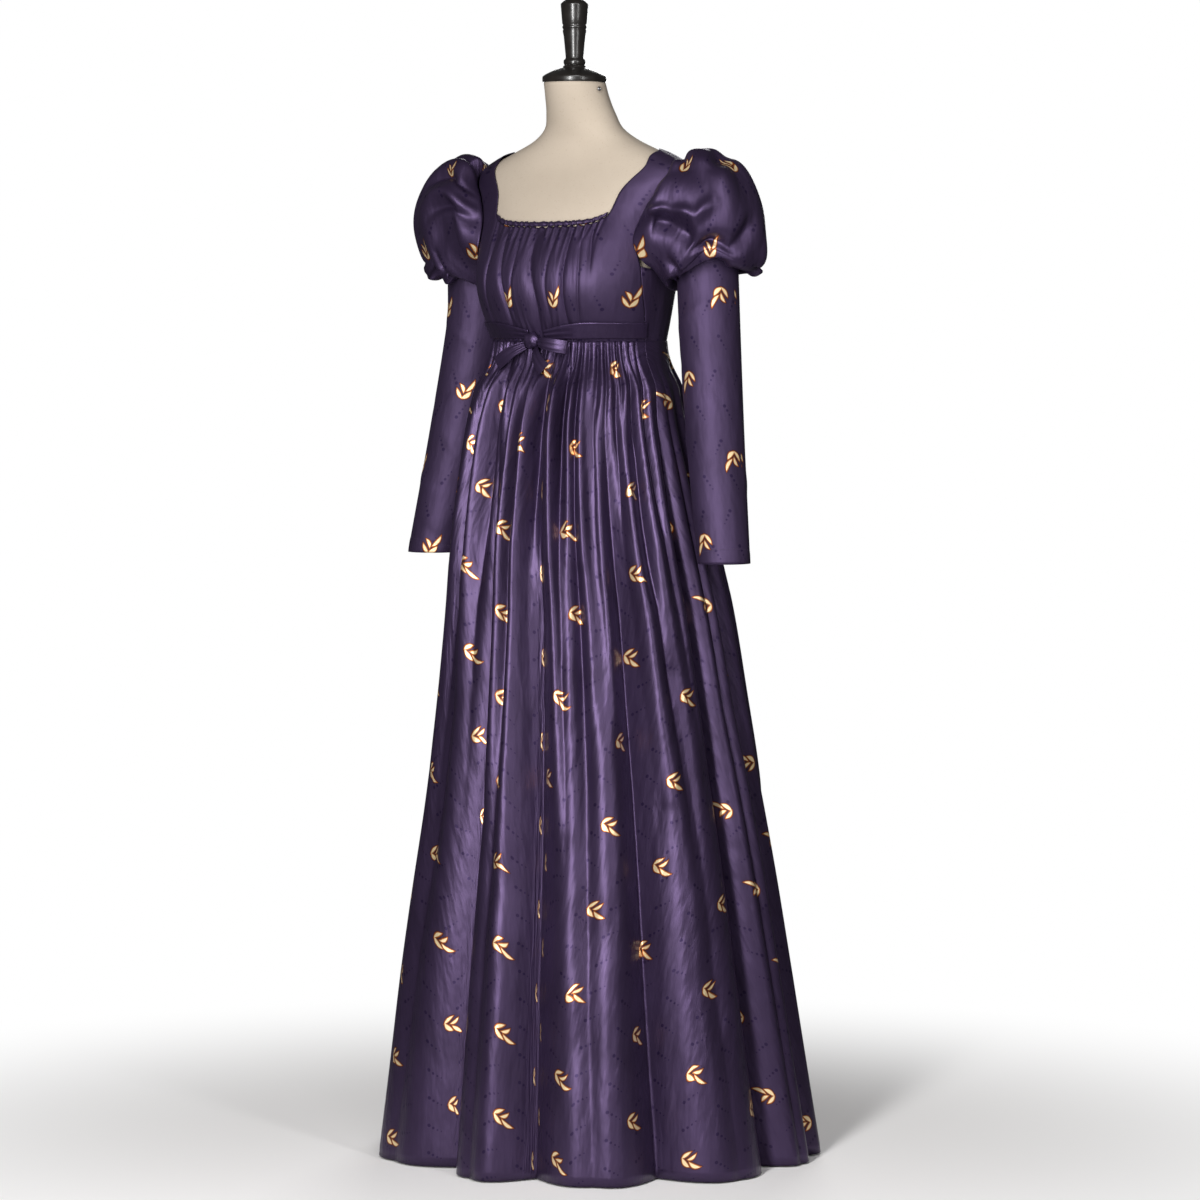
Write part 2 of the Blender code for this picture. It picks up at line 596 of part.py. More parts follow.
def puff_place(around, along):
    """Left puff, from the armhole to the seam that gathers it onto the sleeve."""
    last = len(PUFF) + 1
    row = round(along * last)
    if row == 0:
        angle = smooth_value(ARMHOLE, "share", "angle", around)
        height = smooth_value(ARMHOLE, "share", "height", around)
        return skin(angle, height, bodice_ease(angle, height) + WALL + 2 * LAP)
    if row == last:
        return sleeve_place(around, PUFF_SEAM, WALL + LAP)
    ring = PUFF[row - 1]
    inner = Vector((ring.inner_x, ring.y, ring.inner_z))
    outer = Vector((ring.outer_x, ring.y, ring.outer_z))
    turn = 2 * math.pi * around
    spoke = (outer - inner) / 2 * math.cos(turn) - Vector((0, ring.half_width, 0)) * math.sin(turn)
    dent = sum(
        p.depth
        * math.exp(-(((around - p.around + 0.5) % 1 - 0.5) / p.half_around) ** 2)
        * math.exp(-(((along - p.along) / p.half_along) ** 2))
        for p in PUCKERS
    )
    near_seam = max(1 - abs(row - 1) / 2, 1 - abs(row - last + 1) / 2, 0.0)
    near_seam *= smoothstep(-0.7, 0.2, math.cos(turn))
    gather = PUFF_GATHER_DEPTH * near_seam * math.cos(2 * math.pi * PUFF_GATHERS * around)
    return (inner + outer) / 2 + spoke + spoke.normalized() * (gather - dent)


def build_sleeves():
    def plain(s, t):
        return sleeve_place(s, CUFF_HEIGHT + (SLEEVE_TOP - CUFF_HEIGHT) * t)

    for name, side in SIDES:
        sleeve = mapped_grid(SLEEVE_COLUMNS, SLEEVE_ROWS, mirrored(plain, side))
        join_sides(sleeve)
        cloth(sleeve, "sleeve_" + name)
        puff = mapped_grid(PUFF_GATHERS * COLUMNS_PER_GATHER, len(PUFF) + 1, mirrored(puff_place, side))
        join_sides(puff)
        cloth(puff, "puff_" + name, even=False)


def lobe(angle):
    """The fold of the skirt at a waist angle: its number, the valleys beside it, and the share across it."""
    for number, (left, right) in enumerate(zip(VALLEYS, VALLEYS[1:])):
        if angle <= right.waist_angle:
            break
    return number, left, right, (angle - left.waist_angle) / (right.waist_angle - left.waist_angle)


def skirt_place(waist_angle, height, gather):
    """A point of the skirt. Its column starts at that angle on the waist seam and is a ridge or a groove."""
    number, left, right, share = lobe(waist_angle)
    hem_angle = left.hem_angle + (right.hem_angle - left.hem_angle) * share
    drop = (WAIST - height) / (WAIST - HEM)
    angle = math.radians(waist_angle + (hem_angle - waist_angle) * math.sqrt(drop))
    width, depth, centre = (smooth_value(SKIRT, "height", c, height) for c in ("width", "depth", "centre"))
    big, middle, small = (smooth_value(FOLD_DEPTHS, "height", c, height) for c in ("big", "middle", "gather"))
    fold = big * (left.depth + (right.depth - left.depth) * share)
    fold *= 1 - math.sin(math.pi * min(max(share, 0.0), 1.0)) ** FOLD_ROUNDNESS
    fold += middle * (0.75 + 0.35 * sway(number)) * (0.5 - 0.5 * math.cos(4 * math.pi * share))
    inward = Vector((-math.sin(angle) / width, math.cos(angle) / depth, 0)).normalized()
    point = Vector((width * math.sin(angle), centre - depth * math.cos(angle), height))
    point += inward * (fold + small * gather)
    at_seam = smoothstep(SKIRT_ROWS[3], WAIST, height)
    seam_point = level_skin(waist_angle, WAIST, bodice_ease(waist_angle, WAIST)) + inward * small * gather
    return point.lerp(Vector((seam_point.x, seam_point.y, height)), at_seam)


def plain_at_sides(angle):
    """0 where the skirt is pressed flat beside its side seams and 1 where it is fully gathered."""
    from_front = abs((angle + 180) % 360 - 180)
    front = 1 - smoothstep(FULL_GATHERS[0], FLAT_AT_SEAM[0], from_front)
    return front + smoothstep(FLAT_AT_SEAM[1], FULL_GATHERS[1], from_front)


def skirt_panel(name, gathers, start, end):
    columns, rows = gathers * COLUMNS_PER_GATHER, len(SKIRT_ROWS) - 1

    def place(s, t):
        column = round(s * columns)
        height = SKIRT_ROWS[rows - round(t * rows)]
        angle = start + SEAM_ANGLE + (end - start - 2 * SEAM_ANGLE) * s
        gather = (-1) ** column * plain_at_sides(angle) * (1 + 0.35 * sway(column))
        return skirt_place(angle, height - (SEAM_STEP if t > 0.999 else 0.0), gather)

    cloth(mapped_grid(columns, rows, place), name)


def build_skirt():
    skirt_panel("skirt_front", FRONT_GATHERS, -SIDE_SEAM, SIDE_SEAM)
    skirt_panel("skirt_back", BACK_GATHERS, SIDE_SEAM, 360 - SIDE_SEAM)


def sash_place(s, t):
    """Left half of the sash: s runs from the knot to the side seam, t from the lower edge to the upper."""
    first, last = SASH[0].angle, SIDE_SEAM - 2 * SEAM_ANGLE
    angle = first + (last - first) * s
    height = smooth_value(SASH, "angle", "height", angle)
    height += (t * 2 - 1) * smooth_value(SASH, "angle", "half_width", angle)
    return level_skin(angle, height, bodice_ease(angle, height) + WALL + 3 * LAP)


def front_of_gown(x, z):
    """Y of the skirt's foremost folds, or of the waist seam above them."""
    width, depth, centre = (smooth_value(SKIRT, "height", c, z) for c in ("width", "depth", "centre"))
    return centre - depth * math.sqrt(1 - (x / width) ** 2)


def ribbon(points, name):
    """A band of satin that hangs from the knot in front of the gown."""
    first = points[0]
    far = max(points, key=lambda p: math.hypot(p.x - first.x, p.z - first.z))
    along = Vector((far.x - first.x, 0, far.z - first.z)).normalized()
    across = Vector((-along.z, 0, along.x))

    def place(s, t):
        p = points[round(t * (len(points) - 1))]
        middle = Vector((p.x, front_of_gown(p.x, p.z) - p.out, p.z))
        return middle + across * (s * 2 - 1) * p.half_width

    cloth(mapped_grid(2, len(points) - 1, place), name)


def build_sash():
    for name, side in SIDES:
        cloth(mapped_grid(14, 2, mirrored(sash_place, side)), "sash_" + name)
    bm = bmesh.new()
    bmesh.ops.create_uvsphere(bm, u_segments=12, v_segments=8, radius=1.0)
    bmesh.ops.scale(bm, vec=KNOT_SIZE, verts=bm.verts)
    knot = object_from(bm, "bow_knot", satin())
    x, z = KNOT_CENTRE
    knot.location = (x, front_of_gown(x, z) - KNOT_OUT, z)
    ribbon(TAIL_LEFT, "bow_tail_left")
    ribbon(TAIL_RIGHT, "bow_tail_right")
    ribbon(LOOP, "bow_loop")


def mirrored(place, side):
    """The same point on the gown's left, or on its right where side is -1."""
    def at(s, t):
        point = place(s, t)
        return Vector((point.x * side, point.y, point.z))

    return at


def main():
    for old in list(bpy.data.objects):
        bpy.data.objects.remove(old)
    build_figure()
    build_neck_fittings()
    build_stand()
    build_bodice()
    build_casing()
    build_sleeves()
    build_skirt()
    build_sash()


main()
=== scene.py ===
"""A satin ball gown on a limbless dress form: the finished pieces, built round the fixed frame.

Metres, +Z up. The gown faces -Y and its left sleeve is at +X. Angles are in degrees round the figure:
0 at centre front, 90 at the gown's left side, 180 at centre back.
"""

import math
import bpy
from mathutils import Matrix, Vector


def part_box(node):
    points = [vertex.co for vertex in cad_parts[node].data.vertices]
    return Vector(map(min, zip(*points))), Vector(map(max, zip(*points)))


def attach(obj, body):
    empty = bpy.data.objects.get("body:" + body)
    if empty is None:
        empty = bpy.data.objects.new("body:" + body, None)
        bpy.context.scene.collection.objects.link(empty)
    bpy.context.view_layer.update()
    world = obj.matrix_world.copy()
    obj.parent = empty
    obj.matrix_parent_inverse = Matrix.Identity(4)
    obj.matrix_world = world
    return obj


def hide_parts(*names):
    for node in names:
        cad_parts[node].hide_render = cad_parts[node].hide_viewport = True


bl_info = {
    "name": "Satin ball gown on a dress form",
    "version": (1, 0, 0),
    "blender": (4, 5, 0),
    "location": "View3D > Sidebar > Ball gown",
    "description": "Makes the printed satin gown, its sash and the linen dress form that wears it",
    "category": "Object",
}

from collections import namedtuple

import bpy
import numpy as np
from mathutils import Vector

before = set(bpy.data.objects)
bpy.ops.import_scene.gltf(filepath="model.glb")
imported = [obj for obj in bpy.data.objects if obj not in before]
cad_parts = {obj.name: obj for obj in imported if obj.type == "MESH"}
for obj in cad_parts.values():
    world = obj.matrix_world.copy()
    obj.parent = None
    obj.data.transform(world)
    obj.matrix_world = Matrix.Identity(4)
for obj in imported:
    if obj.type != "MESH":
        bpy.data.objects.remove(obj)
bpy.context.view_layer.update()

WALL = 0.0012                 # thickness of a cloth wall in the frame
LAP = 0.0006                  # clear air between a piece and the one that it lies on
SATIN_THICKNESS = 0.0006
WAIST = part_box("skirt_front")[1].z
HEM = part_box("skirt_front")[0].z
NECK_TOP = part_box("form_torso")[1].z
FIGURE_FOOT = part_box("form_torso")[0].z
NECK_LEAN = -0.016            # how far forward the top of the neck is
HEM_FOOT = 0.003              # the cloth's own lower edge
CUFF_HEIGHT = 0.912
SLEEVE_TOP = 1.378
PUFF_SEAM = 1.372
SIDE_SEAM = 78.0              # angle of the side seams at the waist
FRONT_GATHERS = 32
BACK_GATHERS = 36
NECK_GATHERS = 18
SEAM_ANGLE = 0.01             # half the gap at a seam, as an angle at the waist
SHOULDER_GAP = 0.04
SEAM_LAP = 0.0004             # how far the bodice's lower edge reaches over the skirt's
FRONT_MIDDLE_SHARE = 0.75     # share of the bodice front's columns that are gathered
CASING_REACH = 0.985
SIDES = (("left", 1), ("right", -1))


def table(columns, *rows):
    """Rows of numbers under named columns, in metres and degrees unless a comment says otherwise."""
    kind = namedtuple("Row", columns)
    return [kind(*row) for row in rows]


FIGURE = table(
    "height width front back centre roundness",
    (0.840, 0.150, 0.104, 0.112, 0.000, 2.2),
    (0.920, 0.166, 0.112, 0.122, 0.000, 2.2),
    (1.000, 0.160, 0.108, 0.114, 0.000, 2.2),
    (1.080, 0.134, 0.096, 0.094, 0.000, 2.1),
    (1.140, 0.122, 0.091, 0.084, 0.000, 2.1),
    (1.190, 0.126, 0.095, 0.087, 0.000, 2.1),
    (1.235, 0.132, 0.101, 0.093, 0.000, 2.2),
    (1.280, 0.138, 0.117, 0.098, 0.000, 2.4),
    (1.330, 0.145, 0.127, 0.102, 0.000, 2.5),
    (1.380, 0.152, 0.114, 0.102, 0.001, 2.4),
    (1.420, 0.161, 0.097, 0.101, 0.006, 2.3),
    (1.455, 0.174, 0.081, 0.094, 0.010, 2.3),
    (1.482, 0.184, 0.067, 0.083, 0.013, 2.3),
    (1.497, 0.180, 0.059, 0.073, 0.014, 2.2),
    (1.510, 0.158, 0.053, 0.066, 0.014, 2.2),
    (1.524, 0.127, 0.049, 0.060, 0.014, 2.1),
    (1.540, 0.091, 0.046, 0.053, 0.013, 2.0),
    (1.556, 0.067, 0.046, 0.048, 0.009, 2.0),
    (1.580, 0.055, 0.047, 0.047, 0.001, 2.0),
    (1.605, 0.049, 0.047, 0.047, -0.009, 2.0),
    (1.6265, 0.0465, 0.0465, 0.0465, -0.016, 2.0),
)

EASE = table(
    "height front back",
    (1.240, 0.0050, 0.0050), (1.290, 0.0100, 0.0050),
    (1.345, 0.0095, 0.0055), (1.400, 0.0050, 0.0050),
    (1.440, 0.0034, 0.0032), (1.480, 0.0042, 0.0042),
    (1.530, 0.0042, 0.0042),
)

# Edges of the bodice's panels, in rows from the waist to the shoulder seam.
BODICE_ROWS = 11
CORNER_ROW = 7
FRONT_EDGES = table(
    "row inner_angle inner_height outer_angle outer_height dip",
    (0, 34.0, 1.240, SIDE_SEAM, 1.240, 0.000),
    (2, 34.5, 1.290, 75.5, 1.285, 0.000),
    (4, 35.0, 1.344, 69.0, 1.350, 0.000),
    (5.5, 35.2, 1.384, 61.5, 1.384, 0.000),
    (CORNER_ROW, 35.5, 1.425, 60.0, 1.420, 0.000),
    (9, 41.0, 1.483, 68.0, 1.470, 0.000),
    (10, 58.0, 1.510, 76.5, 1.487, 0.000),
    (BODICE_ROWS, 90.0 - SHOULDER_GAP, 1.522, 90.0 - SHOULDER_GAP, 1.495, 0.000),
)
BACK_EDGES = table(
    "row inner_angle inner_height outer_angle outer_height dip",
    (0, 180.0, 1.240, SIDE_SEAM, 1.240, 0.000),
    (2, 180.0, 1.290, 75.5, 1.285, 0.004),
    (3, 180.0, 1.320, 72.0, 1.318, 0.012),
    (4, 180.0, 1.355, 69.0, 1.350, 0.024),
    (5, 180.0, 1.393, 89.0, 1.344, 0.006),
    (6, 180.0, 1.432, 112.0, 1.372, 0.000),
    (CORNER_ROW, 180.0, 1.470, 121.0, 1.420, 0.000),
    (9, 141.0, 1.492, 112.0, 1.470, 0.000),
    (10, 118.0, 1.511, 102.0, 1.487, 0.000),
    (BODICE_ROWS, 90.0 + SHOULDER_GAP, 1.522, 90.0 + SHOULDER_GAP, 1.495, 0.000),
)
NECKLINE_DIP = 0.007
CORNER_RISE = 0.011           # how much the rounded corners of the neckline stand over its middle
NECKLINE_CORNER = FRONT_EDGES[4]
CASING_HEIGHT = 0.0032
CASING_DEPTH = 0.0022

# Pleats of the bodice front: where each crosses the neckline and the waist, and its size.
BODICE_PLEATS = table(
    "top_angle waist_angle half_width depth",
    (-33.0, -44.0, 1.6, 0.0040), (-29.0, -35.0, 2.4, 0.0050),
    (-19.0, -15.0, 1.9, 0.0062), (-9.0, -9.5, 1.2, 0.0022),
    (0.0, 1.0, 2.1, 0.0085), (8.0, 9.5, 1.3, 0.0024),
    (15.0, 21.0, 2.0, 0.0072), (23.0, 30.0, 1.4, 0.0026),
    (30.0, 39.0, 2.2, 0.0066), (34.0, 52.0, 1.8, 0.0040),
)

ARMHOLE = table(
    "share angle height",
    (0.000, 87.0, 1.4945), (0.040, 74.5, 1.4830),
    (0.091, 66.5, 1.4710), (0.150, 62.0, 1.4545),
    (0.250, 58.5, 1.4200), (0.320, 60.0, 1.3825),
    (0.360, 66.5, 1.3626), (0.414, 78.0, 1.3472),
    (0.500, 91.0, 1.3420), (0.580, 103.5, 1.3500),
    (0.642, 114.0, 1.3710), (0.745, 122.5, 1.4200),
    (0.850, 113.5, 1.4710), (0.914, 101.0, 1.4872),
    (0.969, 91.0, 1.4965), (1.000, 87.0, 1.4945),
)

SKIRT = table(
    "height width depth centre",
    (1.240, 0.1385, 0.1045, -0.003),
    (1.180, 0.157, 0.132, -0.004),
    (1.120, 0.171, 0.152, -0.009),
    (1.050, 0.187, 0.170, -0.007),
    (0.916, 0.213, 0.198, 0.002),
    (0.846, 0.226, 0.211, 0.010),
    (0.693, 0.253, 0.238, 0.020),
    (0.602, 0.269, 0.255, 0.026),
    (0.450, 0.294, 0.280, 0.032),
    (0.298, 0.316, 0.303, 0.036),
    (0.145, 0.337, 0.324, 0.041),
    (0.008, 0.357, 0.342, 0.045),
)
VALLEYS = table(
    "waist_angle hem_angle depth",
    (-SIDE_SEAM, -90.0, 0.050), (-45.0, -55.0, 0.050),
    (-12.0, -14.0, 0.056), (13.0, 14.5, 0.050),
    (44.0, 51.5, 0.058), (SIDE_SEAM, 91.0, 0.050),
    (97.0, 109.0, 0.030), (116.0, 128.0, 0.046),
    (138.0, 149.0, 0.054), (160.0, 168.0, 0.044),
    (183.0, 188.0, 0.055), (206.0, 209.0, 0.048),
    (229.0, 230.0, 0.055), (255.0, 250.0, 0.040),
    (360.0 - SIDE_SEAM, 270.0, 0.050),
)
FOLD_ROUNDNESS = 1.1
FOLD_DEPTHS = table(
    "height big middle pair gather",
    (1.240, 0.00, 0.0000, 0.0000, 0.0012),
    (1.215, 0.02, 0.0010, 0.0018, 0.0034),
    (1.180, 0.06, 0.0040, 0.0062, 0.0024),
    (1.120, 0.22, 0.0120, 0.0088, 0.0004),
    (1.050, 0.42, 0.0180, 0.0080, 0.0000),
    (0.916, 0.66, 0.0230, 0.0056, 0.0000),
    (0.750, 0.90, 0.0280, 0.0036, 0.0000),
    (0.600, 1.04, 0.0290, 0.0020, 0.0000),
    (0.400, 1.18, 0.0270, 0.0000, 0.0000),
    (0.200, 1.30, 0.0240, 0.0000, 0.0000),
    (0.003, 1.36, 0.0220, 0.0000, 0.0000),
)
GATHER_FADE = 1.165           # height where the point of the skirt leaves the form's own shape
FLAT_AT_SEAM = (74.0, 102.0)
FULL_GATHERS = (60.0, 126.0)

# Creases of the skirt: a ridge from one point of the waist seam down to a height, as
# waist angles; half width and height out of the surface in metres. A negative rise is a groove.
SKIRT_CREASES = table(
    "top_angle foot_angle top foot half_width rise",
    (-66, -70, 1.21, 0.45, 0.0090, 0.0050), (-56, -60, 1.22, 0.80, 0.0060, 0.0045),
    (-51, -52, 1.22, 0.95, 0.0050, -0.0045), (-38, -40, 1.22, 0.60, 0.0080, 0.0045),
    (-31, -30, 1.21, 0.90, 0.0055, -0.0050), (-26, -25, 1.22, 0.70, 0.0060, 0.0050),
    (-19, -20, 1.21, 0.85, 0.0055, -0.0045), (-7, -6, 1.22, 0.55, 0.0070, 0.0055),
    (-3, -2, 1.22, 0.95, 0.0050, -0.0050), (3, 2, 1.22, 0.30, 0.0060, 0.0045),
    (8, 9, 1.22, 0.90, 0.0050, -0.0050), (18, 19, 1.22, 0.50, 0.0070, 0.0055),
    (23, 24, 1.22, 0.75, 0.0050, -0.0055), (28, 29, 1.22, 0.90, 0.0050, 0.0050),
    (34, 35, 1.22, 0.65, 0.0060, -0.0045), (39, 38, 1.22, 0.30, 0.0065, 0.0050),
    (50, 52, 1.22, 0.55, 0.0070, 0.0060), (55, 57, 1.22, 0.85, 0.0050, -0.0060),
    (60, 61, 1.22, 0.75, 0.0060, 0.0055), (66, 66, 1.22, 0.95, 0.0055, -0.0045),
    (71, 70, 1.21, 0.60, 0.0080, 0.0040), (88, 88, 1.18, 0.70, 0.0080, 0.0030),
    (106, 106, 1.21, 0.60, 0.0080, 0.0050), (111, 112, 1.21, 0.85, 0.0060, -0.0050),
    (124, 125, 1.22, 0.55, 0.0070, 0.0055), (131, 131, 1.22, 0.85, 0.0060, -0.0050),
    (145, 146, 1.22, 0.65, 0.0070, 0.0055), (153, 152, 1.22, 0.90, 0.0060, -0.0050),
    (168, 169, 1.22, 0.60, 0.0070, 0.0055), (176, 175, 1.22, 0.80, 0.0060, -0.0050),
    (191, 190, 1.22, 0.55, 0.0070, 0.0055), (199, 199, 1.22, 0.85, 0.0060, -0.0050),
    (214, 215, 1.22, 0.60, 0.0070, 0.0055), (221, 222, 1.22, 0.90, 0.0060, -0.0050),
    (238, 237, 1.22, 0.65, 0.0080, 0.0050), (247, 248, 1.21, 0.80, 0.0060, -0.0045),
)
CREASE_GAIN = 2.0
RIGHT_SIDE_SWING = 0.010      # how far the hem swings out on the gown's right
# Long shallow dents where the cloth buckles across a fold: waist angle, height, size and depth.
SKIRT_DENTS = table(
    "angle height half_angle half_height depth",
    (30, 0.36, 6.0, 0.060, 0.0040), (24, 0.20, 7.0, 0.050, 0.0030),
    (60, 0.28, 6.0, 0.070, 0.0045), (2, 0.44, 5.0, 0.050, 0.0035),
    (-28, 0.52, 6.0, 0.080, 0.0035), (34, 0.72, 5.0, 0.060, 0.0030),
    (-60, 0.38, 7.0, 0.080, 0.0040), (150, 0.40, 7.0, 0.080, 0.0040),
    (215, 0.55, 7.0, 0.080, 0.0040),
)

SLEEVE = table(
    "height x y radius",
    (SLEEVE_TOP, 0.2100, 0.0270, 0.0460),
    (1.250, 0.2230, 0.0160, 0.0455),
    (1.100, 0.2440, -0.0010, 0.0430),
    (CUFF_HEIGHT, 0.2750, -0.0240, 0.0385),
)

# Soft drag lines of the sleeves, round the arm (0 outside, a quarter at the front) and by height.
SLEEVE_CREASES = table(
    "around_a height_a around_b height_b half_width rise",
    (0.10, 1.300, 0.42, 1.255, 0.0080, 0.0012),
    (0.45, 1.215, 0.15, 1.160, 0.0090, -0.0011),
    (0.30, 1.120, 0.52, 1.070, 0.0080, 0.0012),
    (0.05, 1.060, 0.34, 1.030, 0.0100, 0.0010),
    (0.60, 1.170, 0.85, 1.120, 0.0090, 0.0012),
    (0.20, 0.985, 0.45, 0.960, 0.0090, -0.0009),
    (0.75, 1.000, 0.98, 1.040, 0.0100, 0.0010),
)

PUFF = table(
    "inner_x inner_z outer_x outer_z half_width y",
    (0.1580, 1.3305, 0.1940, 1.5200, 0.0770, 0.000),
    (0.1580, 1.3235, 0.2340, 1.5270, 0.0820, 0.008),
    (0.1580, 1.3185, 0.2750, 1.5040, 0.0850, 0.015),
    (0.1600, 1.3150, 0.2980, 1.4600, 0.0860, 0.018),
    (0.1632, 1.3150, 0.3040, 1.4100, 0.0840, 0.020),
    (0.1650, 1.3250, 0.2970, 1.3600, 0.0750, 0.022),
    (0.1650, 1.3370, 0.2820, 1.3430, 0.0650, 0.025),
    (0.1640, 1.3540, 0.2660, 1.3560, 0.0560, 0.027),
)
PUFF_GATHERS = 14
PUFF_GATHER_DEPTH = 0.0022
PUCKERS = table(
    "around along half_around half_along depth",
    (0.03, 0.30, 0.040, 0.22, 0.010), (0.13, 0.22, 0.038, 0.20, 0.011),
    (0.18, 0.62, 0.060, 0.14, 0.012), (0.26, 0.35, 0.040, 0.26, 0.009),
    (0.74, 0.30, 0.040, 0.14, 0.008), (0.86, 0.60, 0.045, 0.22, 0.010),
    (0.93, 0.26, 0.038, 0.22, 0.009),
)
# Ridges and grooves of the puffs: ends round the arm and along the puff.
PUFF_CREASE_COLUMNS = "around_a along_a around_b along_b half_width rise"
PUFF_CREASES = {
    "left": table(
        PUFF_CREASE_COLUMNS,
        (0.245, 0.08, 0.232, 0.28, 0.0060, 0.0120), (0.232, 0.28, 0.195, 0.41, 0.0060, 0.0110),
        (0.195, 0.41, 0.135, 0.42, 0.0070, 0.0090), (0.275, 0.14, 0.262, 0.34, 0.0110, -0.0150),
        (0.255, 0.36, 0.225, 0.50, 0.0110, -0.0150), (0.225, 0.56, 0.100, 0.64, 0.0090, -0.0150),
        (0.100, 0.64, 0.015, 0.55, 0.0090, -0.0120), (0.130, 0.34, 0.060, 0.46, 0.0300, 0.0070),
        (0.970, 0.60, 0.930, 0.70, 0.0150, 0.0080), (0.010, 0.06, 0.120, 0.22, 0.0075, -0.0110),
        (-0.040, 0.26, 0.090, 0.31, 0.0080, -0.0100), (0.045, 0.12, 0.030, 0.26, 0.0120, 0.0060),
        (0.400, 0.50, 0.360, 0.78, 0.0080, -0.0100), (0.330, 0.40, 0.305, 0.70, 0.0080, -0.0110),
        (0.180, 0.96, 0.170, 0.74, 0.0070, -0.0060), (0.080, 0.96, 0.085, 0.76, 0.0070, -0.0060),
        (0.900, 0.92, 0.910, 0.66, 0.0080, -0.0060), (0.780, 0.08, 0.800, 0.45, 0.0090, -0.0080),
        (0.690, 0.90, 0.720, 0.55, 0.0090, -0.0070), (0.860, 0.10, 0.850, 0.38, 0.0080, 0.0060),
    ),
    "right": table(
        PUFF_CREASE_COLUMNS,
        (0.240, 0.04, 0.200, 0.38, 0.0080, -0.0110), (0.150, 0.04, 0.110, 0.34, 0.0075, -0.0090),
        (0.200, 0.10, 0.150, 0.42, 0.0090, 0.0070), (0.030, 0.04, 0.045, 0.30, 0.0070, -0.0080),
        (0.120, 0.45, 0.040, 0.55, 0.0300, 0.0050), (0.300, 0.90, 0.260, 0.52, 0.0085, -0.0120),
        (0.220, 0.92, 0.200, 0.64, 0.0080, -0.0080), (0.110, 0.94, 0.120, 0.74, 0.0070, -0.0070),
        (0.920, 0.92, 0.900, 0.60, 0.0090, -0.0090), (0.820, 0.10, 0.800, 0.45, 0.0090, -0.0080),
        (0.700, 0.90, 0.720, 0.55, 0.0090, -0.0070),
    ),
}
# Where the lower edge of a puff is drawn up: the middle round the arm, half width and height.
PUFF_LIFTS = {
    "left": table("around half_around rise", (0.165, 0.085, 0.024)),
    "right": table("around half_around rise", (0.02, 0.14, 0.012)),
}

SASH = table(
    "angle height half_width",
    (4.0, 1.2490, 0.0068),
    (14.0, 1.2520, 0.0095),
    (26.0, 1.2540, 0.0118),
    (50.0, 1.2545, 0.0118),
    (SIDE_SEAM, 1.2545, 0.0118),
)
KNOT_CENTRE = (-0.006, 1.2400)
KNOT_SIZE = (0.0135, 0.0085, 0.0120)
KNOT_OUT = 0.0124
RIBBON_COLUMNS = "x z out half_width"
RIBBONS = {
    "bow_tail_left": table(
        RIBBON_COLUMNS,
        (0.0008, 1.2283, 0.0074, 0.0060), (0.0085, 1.2190, 0.0125, 0.0085),
        (0.0180, 1.2080, 0.0125, 0.0100), (0.0290, 1.1970, 0.0110, 0.0112),
    ),
    "bow_tail_right": table(
        RIBBON_COLUMNS,
        (-0.0178, 1.2330, 0.0099, 0.0060), (-0.0330, 1.2260, 0.0140, 0.0085),
        (-0.0500, 1.2160, 0.0140, 0.0100), (-0.0680, 1.2050, 0.0110, 0.0105),
    ),
    "bow_loop": table(
        RIBBON_COLUMNS,
        (0.0078, 1.2372, 0.0140, 0.0060), (0.0230, 1.2360, 0.0230, 0.0085),
        (0.0420, 1.2330, 0.0240, 0.0098), (0.0550, 1.2305, 0.0200, 0.0100),
        (0.0585, 1.2300, 0.0160, 0.0100), (0.0550, 1.2305, 0.0120, 0.0098),
        (0.0420, 1.2330, 0.0100, 0.0090), (0.0230, 1.2360, 0.0105, 0.0080),
        (0.0078, 1.2372, 0.0095, 0.0060),
    ),
}

PROFILE_COLUMNS = "radius height"
FINIAL_PROFILE = table(
    PROFILE_COLUMNS,
    (0.0005, 1.7540), (0.0060, 1.7535), (0.0110, 1.7515),
    (0.0170, 1.7478), (0.0205, 1.7445), (0.0210, 1.7430),
    (0.0208, 1.7415), (0.0196, 1.7260), (0.0186, 1.7145),
    (0.0176, 1.7128), (0.0176, 1.7115), (0.0185, 1.7100),
    (0.0184, 1.7080), (0.0173, 1.7065), (0.0173, 1.7052),
    (0.0180, 1.7035), (0.0163, 1.6950), (0.0147, 1.6780),
    (0.0134, 1.6640), (0.0140, 1.6620), (0.0162, 1.6600),
    (0.0168, 1.6568), (0.0160, 1.6538), (0.0150, 1.6525),
)
CAP_PROFILE = table(
    PROFILE_COLUMNS,
    (0.0005, 1.6522), (0.0158, 1.6522), (0.0172, 1.6508),
    (0.0180, 1.6490), (0.0230, 1.6474), (0.0300, 1.6450),
    (0.0380, 1.6417), (0.0440, 1.6385), (0.0472, 1.6364),
    (0.0484, 1.6350), (0.0487, 1.6325), (0.0486, 1.6290),
    (0.0478, 1.6268),
)
# A dished eyelet: radius and height of each ring, from the middle out to the foot.
STUD_PROFILE = table(
    PROFILE_COLUMNS,
    (0.0010, -0.0005), (0.0013, 0.0003), (0.0019, 0.0007),
    (0.0027, 0.0006), (0.0032, 0.0000), (0.0033, -0.0009),
)
BASE_PROFILE = table(
    PROFILE_COLUMNS,
    (0.0165, 0.0440), (0.0250, 0.0440), (0.0270, 0.0430),
    (0.0290, 0.0360), (0.0330, 0.0300), (0.0600, 0.0222),
    (0.1200, 0.0172), (0.1840, 0.0118), (0.1890, 0.0100),
    (0.1900, 0.0080), (0.1900, 0.0010), (0.1890, 0.0000),
)

